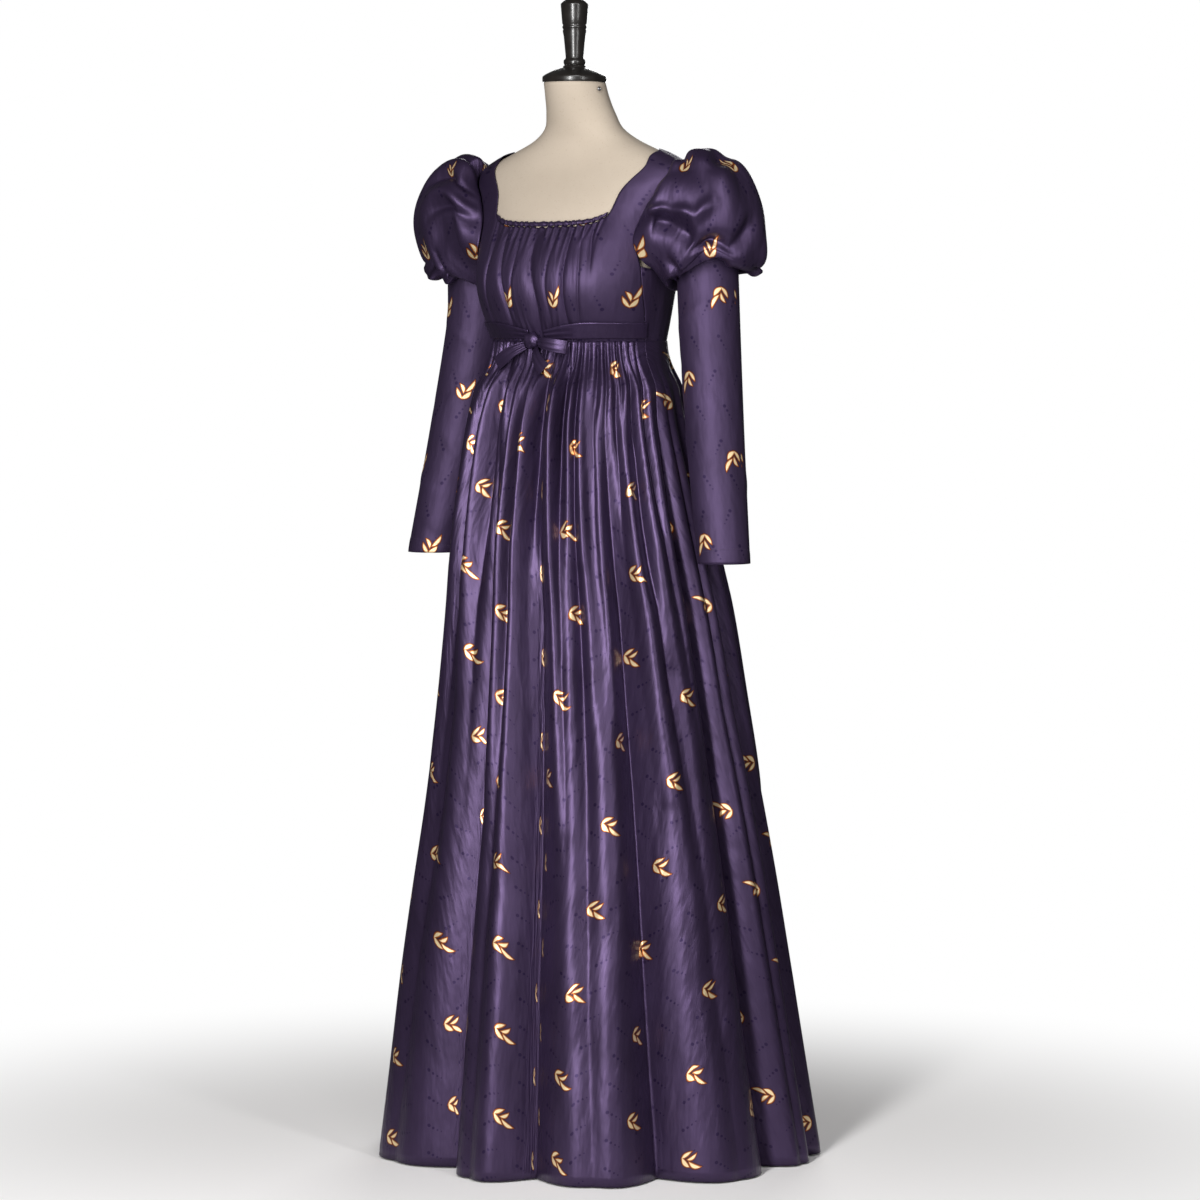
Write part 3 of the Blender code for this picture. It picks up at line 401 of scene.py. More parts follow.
# The four leaves of the printed sprig in millimetres from its middle: x to its right, y to its tip.
LEAVES = table(
    "x y turn half_length half_width bend",
    (-4.4, 8.3, 43.0, 8.4, 2.9, 1.6),
    (8.2, 6.8, 126.0, 8.8, 2.1, -1.0),
    (3.2, -3.0, 118.0, 7.2, 2.0, 1.6),
    (-9.2, -6.1, 59.0, 10.0, 2.3, 2.0),
)
# A printed trail of dots: place along it and radius, in millimetres.
DOTS = [(-10.5, 1.1), (-3.9, 1.5), (3.4, 2.0), (11.0, 2.6)]
TRAIL_SLOPE = 62.0            # degrees between a trail of dots and the weft
SPRIG_REPEAT = (124.0, 122.0) # millimetres along a row of sprigs, and from row to row
TRAIL_REPEAT = (41.0, 52.0)

# How the print lies: degrees that its tip is turned, shift in millimetres, whether it is printed, and
# how much rougher the satin is where it is pulled over an arm or the chest.
PRINT_ON_PANEL = {
    "sleeve left": (0.0, (8.0, 18.0), True, 0.18),
    "sleeve right": (180.0, (20.0, 87.0), True, 0.18),
    "bodice": (180.0, (62.0, 22.0), True, 0.12),
    "puff": (180.0, (0.0, 20.0), True, 0.08),
    "skirt front": (-90.0, (105.0, 61.0), True, 0.0),
    "skirt back": (90.0, (31.0, 30.0), True, 0.0),
    "sash": (90.0, (0.0, 0.0), False, 0.0),
}

# The flat cut of what shows of each piece, in metres: width, length and area.
Cut = namedtuple("Cut", "width length area held rests_on")

# Slack ripples, longer along the warp: across and along, for print that lies upright or on its side.
RIPPLE_SCALE = {False: (0.055, 0.018, 1), True: (0.016, 0.055, 1)}
STITCH_LENGTH = 0.0024
STITCH_GAP = 0.0008
THREAD_RADIUS = 0.00028

GATHERED_TURN = math.radians(35.0)   # half the angle of the bodice front that is gathered
CUFF_HEM = 0.015              # height of the cuff's row of stitches over its edge
POLE_EDGE = 0.001             # chamfer of the pole's ends
RIBBON_THICKNESS = 0.0010
SATIN_METALLIC = 0.7
SATIN_ANISOTROPY = 0.35
INK_STRENGTH = 0.85           # how far the indigo of the dots covers the ground
PUFF_REACH, PUFF_GIRTH = 0.24, 0.52  # lengths along a puff and round it
PUFF_MIDDLE = (0.215, 0.015, 1.42)   # the globe that the puff's print is laid on, and its radius
PUFF_RADIUS = 0.115
SLEEVE_GIRTH = 0.27
RIGHT_SLEEVE_SHIFT = 0.03     # how far the right sleeve's creases lie from the left one's mirror image
RIGHT_SLEEVE_HANG = (0.006, 0.010, 0.0)
EVEN_ROWS, CROWDED_ROWS = 0.42, 0.58  # shares of the skirt's rows: evenly spaced, and closer to the waist
DIP_WIDTH = 0.17              # width of a fold's middle dip, as a share of the fold
STUD_FACES = (1.0, -0.18, 0.05)
CASING_THICKNESS = 0.0004
# Columns and rows of faces of each piece.
MESH_SIZE = {
    "figure": (120, 150), "bodice front": (200, 99), "bodice back": (60, 77), "puff": (224, 108),
    "sleeve": (80, 160), "sash": (150, 12), "knot": (64, 40),
}
SKIRT_COLUMNS = {"front": 384, "back": 396}
SKIRT_ROWS = 120
RIBBON_WIDE, TAIL_LONG, LOOP_LONG = 24, 48, 64

# Cloth that a deep valley of the front panel hides: width at the hem, and the share of it at the waist.
HIDDEN_CLOTH = table(
    "waist_angle width at_waist",
    (-33.0, 0.090, 0.20), (-12.0, 0.085, 0.20),
    (13.0, 0.250, 0.30),
)
PRINT_DRIFT = table(
    "height aside",
    (1.240, -0.030), (1.090, -0.021),
    (0.974, 0.025), (0.851, 0.018),
    (0.600, 0.000), (0.372, -0.032),
    (0.117, -0.049), (0.000, -0.052),
)

WORLD_LIGHT = 0.06
LIGHT_AIM = (0.0, 0.0, 0.95)
FLOOR_SIZE = 60.0
FLOOR_FADE = (0.45, 1.6)      # distances from the stand between which the floor turns white
# Soft boxes: degrees to the right of the camera, distance, height, width and height, and watts.
STUDIO_LIGHTS = [
    ("key soft box", -16.0, 3.0, 1.6, (0.30, 2.4), 122.0),
    ("fill soft box", 30.0, 3.2, 1.6, (0.30, 2.2), 28.0),
    ("back soft box", 172.0, 3.2, 2.0, (1.2, 1.8), 46.0),
    ("top soft box", 5.0, 2.2, 3.3, (1.0, 0.8), 16.0),
]


def curve(rows, key, column, at):
    """Value of a table's column on the cubic curve through its rows, held at the ends."""
    knots = np.array([getattr(row, key) for row in rows], float)
    values = np.array([getattr(row, column) for row in rows], float)
    if knots[0] > knots[-1]:
        knots, values = knots[::-1], values[::-1]
    slopes = np.gradient(values, knots)
    at = np.clip(at, knots[0], knots[-1])
    i = np.clip(np.searchsorted(knots, at, side="right") - 1, 0, len(knots) - 2)
    gap = knots[i + 1] - knots[i]
    t = (at - knots[i]) / gap
    return (
        values[i] * (2 * t**3 - 3 * t**2 + 1)
        + values[i + 1] * (3 * t**2 - 2 * t**3)
        + gap * slopes[i] * (t**3 - 2 * t**2 + t)
        + gap * slopes[i + 1] * (t**3 - t**2)
    )


def straight(rows, key, column, at):
    return np.interp(at, [getattr(row, key) for row in rows], [getattr(row, column) for row in rows])


def through_rows(rows, at):
    """The smooth surface through rows of points, read at fractional row numbers."""
    rows = np.asarray(rows, float)
    slopes = np.gradient(rows, axis=0)
    i = np.clip(np.floor(at).astype(int), 0, len(rows) - 2)
    t = (at - i).reshape((-1,) + (1,) * (rows.ndim - 1))
    return (
        rows[i] * (2 * t**3 - 3 * t**2 + 1)
        + rows[i + 1] * (3 * t**2 - 2 * t**3)
        + slopes[i] * (t**3 - 2 * t**2 + t)
        + slopes[i + 1] * (t**3 - t**2)
    )


def power(value, exponent):
    return np.sign(value) * np.abs(value) ** exponent


def smoothstep(low, high, value):
    t = np.clip((np.asarray(value, float) - low) / (high - low), 0.0, 1.0)
    return t * t * (3 - 2 * t)


def sway(number):
    """A repeatable uneven value from -1 to 1 for the fold of that number."""
    return np.sin(2.4 * number + 1.3) * np.cos(1.7 * number)


def points_of(x, y, z):
    return np.stack(np.broadcast_arrays(x, y, z), axis=-1).astype(float)


def unit(vectors):
    return vectors / np.maximum(np.linalg.norm(vectors, axis=-1, keepdims=True), 1e-12)


def figure_point(angle, height):
    turn = np.radians(angle)
    side, ahead = np.sin(turn), np.cos(turn)
    width, front, back, centre, roundness = (
        curve(FIGURE, "height", column, height) for column in FIGURE[0]._fields[1:]
    )
    depth = np.where(ahead > 0, front, back)
    exponent = 2 / roundness
    return points_of(width * power(side, exponent), centre - depth * power(ahead, exponent), height)


def skin(angle, height, out):
    """The points that lie that far off the figure, square to its surface."""
    step_angle, step_height = 1.5, 0.004
    across = figure_point(angle + step_angle, height) - figure_point(angle - step_angle, height)
    upward = figure_point(angle, height + step_height) - figure_point(angle, height - step_height)
    return figure_point(angle, height) + unit(np.cross(across, upward)) * np.asarray(out)[..., None]


def level_skin(angle, height, out):
    """The same at exactly that height."""
    point = skin(angle, 2 * height - skin(angle, height, out)[..., 2], out)
    point[..., 2] = height
    return point


def bodice_ease(angle, height):
    front = curve(EASE, "height", "front", height)
    back = curve(EASE, "height", "back", height)
    return back + (front - back) * (1 - smoothstep(70.0, 100.0, np.abs(angle)))


def grid(columns, rows):
    """Shares across and up a grid, as arrays of one row per row of its points."""
    return np.meshgrid(np.linspace(0, 1, columns + 1), np.linspace(0, 1, rows + 1))


def lengths(points, axis):
    """Distance along the points of a grid, from its first row or column."""
    steps = np.linalg.norm(np.diff(points, axis=axis), axis=-1)
    start = np.zeros_like(np.take(steps, [0], axis=axis))
    return np.concatenate([start, np.cumsum(steps, axis=axis)], axis=axis)


def cloth_uv(points, side=1):
    """Metres of cloth across and up each point: from the middle column, and from the top edge down."""
    across = lengths(points, 1)
    across = (across - across[:, across.shape[1] // 2][:, None]) * side
    up = lengths(points, 0)
    return np.stack([across, up - up[-1]], axis=-1)


def bump_line(a, b, at_a, at_b, half_width):
    """How near each point is to a line, from 0 to 1, fading out towards both of its ends."""
    along = np.array(at_b, float) - np.array(at_a, float)
    share = ((a - at_a[0]) * along[0] + (b - at_a[1]) * along[1]) / (along @ along)
    held = np.clip(share, 0.0, 1.0)
    distance = np.hypot(a - at_a[0] - along[0] * held, b - at_a[1] - along[1] * held)
    return np.exp(-((distance / half_width) ** 2)) * (0.35 + 0.65 * np.sin(np.pi * held))


def linear(hex_colour):
    """A linear colour from an sRGB hex value."""
    parts = [int(hex_colour.lstrip("#")[i:i + 2], 16) / 255 for i in (0, 2, 4)]
    return (*(p / 12.92 if p <= 0.04045 else ((p + 0.055) / 1.055) ** 2.4 for p in parts), 1.0)


def add(tree, kind, inputs=None, **settings):
    """Adds a node with its settings, and links or sets its inputs."""
    node = tree.nodes.new(kind)
    for name, value in settings.items():
        setattr(node, name, value)
    for key, value in (inputs or {}).items():
        if isinstance(value, bpy.types.NodeSocket):
            tree.links.new(value, node.inputs[key])
        else:
            node.inputs[key].default_value = value
    return node


def maths(tree, operation, *values):
    return add(tree, "ShaderNodeMath", dict(enumerate(values)), operation=operation).outputs[0]


def blend(tree, share, first, second):
    inputs = {"Factor": share, "A": first, "B": second}
    return add(tree, "ShaderNodeMix", inputs, data_type="RGBA").outputs["Result"]


def add_surface(tree, inputs):
    shader = add(tree, "ShaderNodeBsdfPrincipled", inputs)
    add(tree, "ShaderNodeOutputMaterial", {"Surface": shader.outputs[0]})


def blank_material(name):
    finish = bpy.data.materials.new(name)
    finish.use_nodes = True
    finish.node_tree.nodes.clear()
    return finish, finish.node_tree


def printed_satin(name, turn, shift, printed, matt):
    """Polyester duchess satin, woven smooth and then printed: a dark plum ground with soft broad gloss."""
    finish, tree = blank_material(name)
    look = bpy.context.scene.gown
    uv = add(tree, "ShaderNodeUVMap", uv_map="Cloth").outputs["UV"]
    turned = add(tree, "ShaderNodeMapping", {
        "Vector": uv, "Rotation": (0, 0, math.radians(turn)),
        "Location": (*shift, 0), "Scale": (1000, 1000, 1),
    })
    cloth = turned.outputs["Vector"]

    slub = add(tree, "ShaderNodeMapping", {"Vector": cloth, "Scale": (0.02, 0.6, 1)})
    threads = add(tree, "ShaderNodeTexNoise", {
        "Vector": slub.outputs[0], "Scale": 2.4, "Detail": 4.0, "Roughness": 0.6,
    })
    shade = add(tree, "ShaderNodeTexNoise", {"Vector": cloth, "Scale": 0.012, "Detail": 2.0})
    ground = blend(tree, shade.outputs["Fac"], tuple(look.satin_dark), tuple(look.satin_light))
    if printed:
        ground = add_trails(tree, cloth, ground)
        ground = add_sprigs(tree, cloth, ground)

    weave = add(tree, "ShaderNodeTexWave", {
        "Vector": cloth, "Scale": 0.9, "Distortion": 1.2, "Detail": 1.0, "Detail Scale": 2.0,
    }, bands_direction="Y")
    relief = maths(tree, "MULTIPLY", weave.outputs["Fac"], threads.outputs["Fac"])
    bump = add(tree, "ShaderNodeBump", {"Height": relief, "Strength": 0.10, "Distance": 0.0002})
    slack = add(tree, "ShaderNodeMapping", {"Vector": cloth, "Scale": RIPPLE_SCALE[turn in (90.0, -90.0)]})
    ripple = add(tree, "ShaderNodeTexNoise", {
        "Vector": slack.outputs[0], "Scale": 1.0, "Detail": 2.5, "Roughness": 0.45,
    })
    bump = add(tree, "ShaderNodeBump", {
        "Height": ripple.outputs["Fac"], "Strength": 0.5, "Distance": 0.004, "Normal": bump.outputs[0],
    })
    rough = look.satin_roughness + matt
    gloss = add(tree, "ShaderNodeMapRange", {
        "Value": threads.outputs["Fac"], "To Min": rough - 0.04, "To Max": rough + 0.06,
    })
    add_surface(tree, {
        "Base Color": ground, "Roughness": gloss.outputs[0], "Normal": bump.outputs[0],
        "Metallic": SATIN_METALLIC, "Specular IOR Level": 0.4, "Anisotropic": SATIN_ANISOTROPY,
    })
    return finish


def repeat_cell(tree, cloth, repeat):
    """Place in the cell of a brick repeat, from its middle, and the number of its row; in millimetres."""
    split = add(tree, "ShaderNodeSeparateXYZ", {0: cloth})
    high = maths(tree, "DIVIDE", split.outputs[1], repeat[1])
    row = maths(tree, "FLOOR", high)
    odd = maths(tree, "FLOORED_MODULO", row, 2.0)
    wide = maths(tree, "DIVIDE", split.outputs[0], repeat[0])
    wide = maths(tree, "MULTIPLY_ADD", odd, 0.5, wide)
    cell = []
    for share, size in ((wide, repeat[0]), (high, repeat[1])):
        inside = maths(tree, "FRACT", share)
        inside = maths(tree, "SUBTRACT", inside, 0.5)
        cell.append(maths(tree, "MULTIPLY", inside, size))
    return cell, odd


def add_trails(tree, cloth, ground):
    """Trails of four indigo dots that grow along the trail; every other row leans the other way."""
    (x, y), odd = repeat_cell(tree, cloth, TRAIL_REPEAT)
    lean = maths(tree, "MULTIPLY_ADD", odd, -2.0, 1.0)
    x = maths(tree, "MULTIPLY", x, lean)
    place = add(tree, "ShaderNodeCombineXYZ", {0: x, 1: y}).outputs[0]
    nearest = None
    for along, radius in DOTS:
        slope = math.radians(TRAIL_SLOPE)
        centre = (along * math.cos(slope), along * math.sin(slope), 0)
        far = add(tree, "ShaderNodeVectorMath", {0: place, 1: centre}, operation="DISTANCE").outputs["Value"]
        edge = maths(tree, "SUBTRACT", far, radius)
        nearest = edge if nearest is None else maths(tree, "MINIMUM", nearest, edge)
    ink = add(tree, "ShaderNodeMapRange", {"Value": nearest, "From Min": 0.3, "From Max": -0.3}).outputs[0]
    ink = maths(tree, "MULTIPLY", ink, INK_STRENGTH)
    return blend(tree, ink, ground, tuple(bpy.context.scene.gown.print_indigo))


def add_sprigs(tree, cloth, ground):
    """Sprigs of four cream leaves, edged in burnt orange and with a brown shadow between them."""
    look = bpy.context.scene.gown
    (x, y), _ = repeat_cell(tree, cloth, SPRIG_REPEAT)
    place = add(tree, "ShaderNodeCombineXYZ", {0: x, 1: y}).outputs[0]
    nearest = None
    for leaf in LEAVES:
        local = add(tree, "ShaderNodeMapping", {
            "Vector": place, "Location": (leaf.x, leaf.y, 0), "Rotation": (0, 0, math.radians(leaf.turn)),
            "Scale": (leaf.half_length, 1, 1),
        }, vector_type="TEXTURE")
        split = add(tree, "ShaderNodeSeparateXYZ", {0: local.outputs[0]})
        square = maths(tree, "MULTIPLY", split.outputs[0], split.outputs[0])
        bent = maths(tree, "MULTIPLY_ADD", square, leaf.bend, split.outputs[1])
        off = maths(tree, "ABSOLUTE", bent)
        width = maths(tree, "MULTIPLY_ADD", square, leaf.half_width, off)
        edge = maths(tree, "SUBTRACT", width, leaf.half_width)
        nearest = edge if nearest is None else maths(tree, "MINIMUM", nearest, edge)
    for low, high, colour in (
        (3.0, 1.9, look.print_brown), (1.7, 0.9, look.print_orange), (0.35, -0.35, look.print_cream),
    ):
        amount = add(tree, "ShaderNodeMapRange", {"Value": nearest, "From Min": low, "From Max": high})
        ground = blend(tree, amount.outputs[0], ground, tuple(colour))
    return ground


def linen():
    """Unbleached linen, pasted over the padded form: a dry plain weave with uneven threads."""
    finish, tree = blank_material("form linen")
    look = bpy.context.scene.dress_form
    place = add(tree, "ShaderNodeTexCoord").outputs["Object"]
    yarns = {"Vector": place, "Scale": 190.0, "Distortion": 0.6, "Detail": 2.0}
    warp = add(tree, "ShaderNodeTexWave", yarns, bands_direction="Z")
    weft = add(tree, "ShaderNodeTexWave", yarns, bands_direction="X")
    weave = maths(tree, "MULTIPLY", warp.outputs["Fac"], weft.outputs["Fac"])
    stain = add(tree, "ShaderNodeTexNoise", {"Vector": place, "Scale": 9.0, "Detail": 5.0, "Roughness": 0.6})
    base = blend(tree, stain.outputs["Fac"], tuple(look.linen_dark), tuple(look.linen_light))
    fleck = add(tree, "ShaderNodeTexNoise", {"Vector": place, "Scale": 420.0, "Detail": 2.0})
    amount = add(tree, "ShaderNodeMapRange", {
        "Value": fleck.outputs["Fac"], "From Min": 0.62, "From Max": 0.75, "To Max": 0.35,
    })
    base = blend(tree, amount.outputs[0], base, linear("#8F7E6C"))
    bump = add(tree, "ShaderNodeBump", {"Height": weave, "Strength": 0.25, "Distance": 0.0004})
    add_surface(tree, {
        "Base Color": base, "Roughness": 0.88, "Normal": bump.outputs[0], "Specular IOR Level": 0.25,
    })
    return finish


def lacquer():
    """Turned beech under black lacquer: a deep soft gloss with faint turning rings and uneven dusty patches.
    """
    finish, tree = blank_material("black lacquered beech")
    place = add(tree, "ShaderNodeTexCoord").outputs["Object"]
    turning = {"Vector": place, "Scale": 120.0, "Distortion": 1.0, "Detail": 2.0}
    rings = add(tree, "ShaderNodeTexWave", turning, bands_direction="Z")
    dust = add(tree, "ShaderNodeTexNoise", {"Vector": place, "Scale": 60.0, "Detail": 4.0})
    gloss = add(tree, "ShaderNodeMapRange", {"Value": dust.outputs["Fac"], "To Min": 0.22, "To Max": 0.42})
    tone = blend(tree, dust.outputs["Fac"], tuple(bpy.context.scene.dress_form.lacquer), linear("#26221F"))
    bump = add(tree, "ShaderNodeBump", {"Height": rings.outputs["Fac"], "Strength": 0.08, "Distance": 0.0003})
    add_surface(tree, {
        "Base Color": tone, "Roughness": gloss.outputs[0], "Normal": bump.outputs[0],
        "Coat Weight": 0.35, "Coat Roughness": 0.18,
    })
    return finish


def steel():
    """Brushed mild steel tube with a dull grey shine."""
    finish, tree = blank_material("brushed steel")
    place = add(tree, "ShaderNodeTexCoord").outputs["Object"]
    stretched = add(tree, "ShaderNodeMapping", {"Vector": place, "Scale": (1, 1, 0.05)}).outputs[0]
    scratch = add(tree, "ShaderNodeTexNoise", {"Vector": stretched, "Scale": 900.0, "Detail": 3.0})
    gloss = add(tree, "ShaderNodeMapRange", {"Value": scratch.outputs["Fac"], "To Min": 0.28, "To Max": 0.5})
    tone = blend(tree, scratch.outputs["Fac"], linear("#77777A"), linear("#A9A9AB"))
    add_surface(tree, {
        "Base Color": tone, "Metallic": 1.0, "Roughness": gloss.outputs[0],
    })
    return finish


def finish_named(name, make, *args, **settings):
    return bpy.data.materials.get(name) or make(*args, **settings)


def satin_for(panel):
    """The satin as it lies on that panel: which way the print's tip points, and where its repeat starts."""
    turn, shift, printed, matt = PRINT_ON_PANEL[panel]
    name = "plum satin " + panel
    return finish_named(name, printed_satin, name, turn, shift, printed, matt)


def surface(name, points, uv, material, closed=False, keep=None):
    """A smooth mesh over a grid of points, with its cloth lengths as UVs, facing away from the figure."""
    rows, columns = points.shape[:2]
    wide = columns - 1 if closed else columns
    r, c = np.meshgrid(np.arange(rows - 1), np.arange(columns - 1), indexing="ij")
    if keep is not None:
        r, c = r[keep], c[keep]
    r, c = r.ravel(), c.ravel()
    corners = np.stack([r * wide + c, r * wide + (c + 1) % wide, (r + 1) * wide + (c + 1) % wide,
                        (r + 1) * wide + c], axis=1)
    corner_uv = np.stack([uv[r, c], uv[r, c + 1], uv[r + 1, c + 1], uv[r + 1, c]], axis=1)
    flat = points[:, :wide].reshape(-1, 3)
    middle = points.mean(axis=1)[r] if closed else np.array([0.0, 0.0, 0.0])
    p = flat[corners]
    normal = np.cross(p[:, 2] - p[:, 0], p[:, 3] - p[:, 1])
    outward = p.mean(axis=1) - middle
    if not closed:
        outward[:, 2] = 0
    if (normal * outward).sum() < 0:
        corners, corner_uv = corners[:, ::-1], corner_uv[:, ::-1]
    used, index = np.unique(corners, return_inverse=True)
    mesh = bpy.data.meshes.new(name)
    mesh.from_pydata(flat[used].tolist(), [], index.reshape(-1, 4).tolist())
    layer = mesh.uv_layers.new(name="Cloth")
    layer.data.foreach_set("uv", corner_uv.reshape(-1).astype(np.float32))
    mesh.materials.append(material)
    mesh.shade_smooth()
    mesh.validate()
    piece = bpy.data.objects.new(name, mesh)
    bpy.context.scene.collection.objects.link(piece)
    return piece


def shell(piece, thickness=SATIN_THICKNESS):
    wall = piece.modifiers.new("cloth thickness", "SOLIDIFY")
    wall.thickness = thickness
    wall.offset = 0.0
    wall.use_even_offset = False
    return piece


def wear(piece, node):
    """Puts a finished piece in the place of its solid."""
    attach(piece, "root")
    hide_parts(node)
    return piece


def make_cloth(node, points, uv, satin, cut, slot="plum_satin", thickness=SATIN_THICKNESS, **form):
    """A piece of satin over a grid of points, worn in the place of its solid."""
    piece = shell(surface("satin_" + node, points, uv, satin, **form), thickness)
    wear(piece, node)


def thread_material():
    """Spun polyester sewing thread, dyed to match and a shade darker than the satin."""
    finish, tree = blank_material("plum sewing thread")
    place = add(tree, "ShaderNodeTexCoord").outputs["Object"]
    twist = add(tree, "ShaderNodeTexNoise", {"Vector": place, "Scale": 900.0, "Detail": 2.0})
    tone = blend(tree, twist.outputs["Fac"], linear("#2C2036"), linear("#4B3B5A"))
    add_surface(tree, {"Base Color": tone, "Roughness": 0.55})
    return finish


def along_line(at, far, points):
    return np.array([np.interp(at, far, points[:, k]) for k in range(3)])


def stitches(name, path, normals, loop=False):
    """A row of lock stitches on a line of points: each is a short thread, low at its two ends."""
    path = np.asarray(path, float)
    if loop:
        path, normals = np.vstack([path, path[:1]]), np.vstack([normals, normals[:1]])
    far = np.concatenate([[0], np.cumsum(np.linalg.norm(np.diff(path, axis=0), axis=1))])
    count = int(far[-1] // (STITCH_LENGTH + STITCH_GAP))
    verts, faces = [], []
    for number in range(count):
        start = number * (STITCH_LENGTH + STITCH_GAP)
        base = len(verts)
        for share, lift, size in ((0.0, -0.2, 0.5), (0.25, 0.35, 1.0), (0.75, 0.35, 1.0), (1.0, -0.2, 0.5)):
            at = start + STITCH_LENGTH * share
            centre = along_line(at, far, path)
            up = unit(along_line(at, far, normals))
            ahead = unit(along_line(at + 0.001, far, path) - along_line(at - 0.001, far, path))
            side = unit(np.cross(up, ahead))
            for corner in range(5):
                turn = 2 * math.pi * corner / 5
                verts.append(centre + up * THREAD_RADIUS * lift
                             + (up * math.cos(turn) + side * math.sin(turn)) * THREAD_RADIUS * size)
        for ring in range(3):
            for corner in range(5):
                a, b = base + ring * 5 + corner, base + ring * 5 + (corner + 1) % 5
                faces.append((a, b, b + 5, a + 5))
        faces.append(tuple(base + k for k in range(4, -1, -1)))
        faces.append(tuple(base + 15 + k for k in range(5)))
    mesh = bpy.data.meshes.new(name)
    mesh.from_pydata([tuple(v) for v in verts], [], faces)
    mesh.materials.append(finish_named("plum sewing thread", thread_material))
    mesh.shade_smooth()
    piece = bpy.data.objects.new(name, mesh)
    bpy.context.scene.collection.objects.link(piece)
    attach(piece, "root")
    return piece


def panel_edges(edges, row):
    """The columns of a bodice panel's table at those rows: straight seams, and a smooth neckline above."""
    upper = [p for p in edges if p.row >= CORNER_ROW]
    found = {}
    for column in edges[0]._fields[1:]:
        low = straight(edges, "row", column, row)
        found[column] = np.where(row <= CORNER_ROW, low, curve(upper, "row", column, row))
    return found


def bodice_point(angle, height, row, fold=0.0):
    out = bodice_ease(angle, height) + fold
    raised = skin(angle, height, out)
    level = level_skin(angle, WAIST - SEAM_LAP, out)
    at_waist = (1 - smoothstep(0.0, 0.8, row))[..., None]
    return raised + (level - raised) * at_waist


def neckline_drop(across):
    """How far the neckline lies under its corners, from one corner at -1 to the other at 1."""
    return NECKLINE_DIP * (1 - across**2) + CORNER_RISE * (1 - np.abs(np.clip(across, -1, 1)) ** 7)


def front_folds(across, up, angle):
    """Gathers at the neckline and the waist, and the soft pleats between them."""
    fade = 1 - smoothstep(0.90, 1.04, np.abs(across))
    phase = math.pi * NECK_GATHERS * (across + 1) + 1.6 * np.sin(5.3 * across + 0.4)
    uneven = 1 + 0.55 * np.sin(7.1 * across + 0.7) * np.cos(4.0 * across)
    reach = 0.72 + 0.13 * np.sin(9.7 * across + 1.0) + 0.08 * np.cos(23.0 * across)
    ripple = uneven * (1 - 2 * np.abs(np.sin(phase / 2)) ** 1.2)
    ripple = ripple * (0.0019 * smoothstep(reach, 1.0, up) + 0.0014 * (1 - smoothstep(0.0, 1 - reach, up)))
    pleats = 0.0
    for pleat in BODICE_PLEATS:
        at = pleat.waist_angle + (pleat.top_angle - pleat.waist_angle) * up
        at = at + 1.2 * np.sin(6 * up + pleat.top_angle)
        apart = np.abs(angle - at) / (pleat.half_width * (0.6 + 0.4 * np.abs(up - 0.5) * 2))
        pleats = pleats + pleat.depth * np.exp(-(apart**1.15)) * np.sin(np.pi * (0.12 + 0.76 * up))
    return fade * ripple - pleats * fade * smoothstep(0.0, 0.06, up)


def front_place(s, t):
    """Bodice front: s runs from the gown's right to its left, t from the waist to the shoulder seams."""
    half, row = (s - 0.5) * 2, t * BODICE_ROWS
    edge = panel_edges(FRONT_EDGES, row)
    across = half / FRONT_MIDDLE_SHARE
    up = np.minimum(row / CORNER_ROW, 1.0)
    inner = np.abs(across) <= 1.0
    share = (np.abs(half) - FRONT_MIDDLE_SHARE) / (1 - FRONT_MIDDLE_SHARE)
    side_angle = edge["inner_angle"] + (edge["outer_angle"] - SEAM_ANGLE - edge["inner_angle"]) * share
    side_height = edge["inner_height"] + (edge["outer_height"] - edge["inner_height"]) * share
    angle = np.where(inner, edge["inner_angle"] * across, np.sign(half) * side_angle)
    height = np.where(inner, edge["inner_height"] - neckline_drop(across) * up**2, side_height)
    return bodice_point(angle, height, row, front_folds(across, up, angle))


def back_place(s, t):
    """Left half of the bodice's back: s runs from the side seam and armhole to centre back."""
    row = t * BODICE_ROWS
    edge = panel_edges(BACK_EDGES, row)
    width = edge["inner_angle"] - edge["outer_angle"] - 2 * SEAM_ANGLE
    angle = edge["outer_angle"] + SEAM_ANGLE + width * s
    height = edge["outer_height"] + (edge["inner_height"] - edge["outer_height"]) * s
    return bodice_point(angle, height - edge["dip"] * np.sin(np.pi * np.sqrt(s)), row)


def mirrored(points, side):
    return np.array([side, 1.0, 1.0]) * points


def sleeve_place(around, height, out=0.0):
    """Left sleeve: around is 0 on its outer side and a quarter at its front."""
    def middle(at):
        return points_of(curve(SLEEVE, "height", "x", at), curve(SLEEVE, "height", "y", at), at)

    along = unit(middle(height - 0.01) - middle(height))
    outward = unit(np.array([1.0, 0.0, 0.0]) - along * along[..., :1])
    forward = np.cross(outward, along)
    forward = forward * np.where(forward[..., 1:2] < 0, 1, -1)
    turn = 2 * np.pi * around
    radius = curve(SLEEVE, "height", "radius", height) + out
    spoke = outward * np.cos(turn)[..., None] + forward * np.sin(turn)[..., None]
    return middle(height) + spoke * radius[..., None]


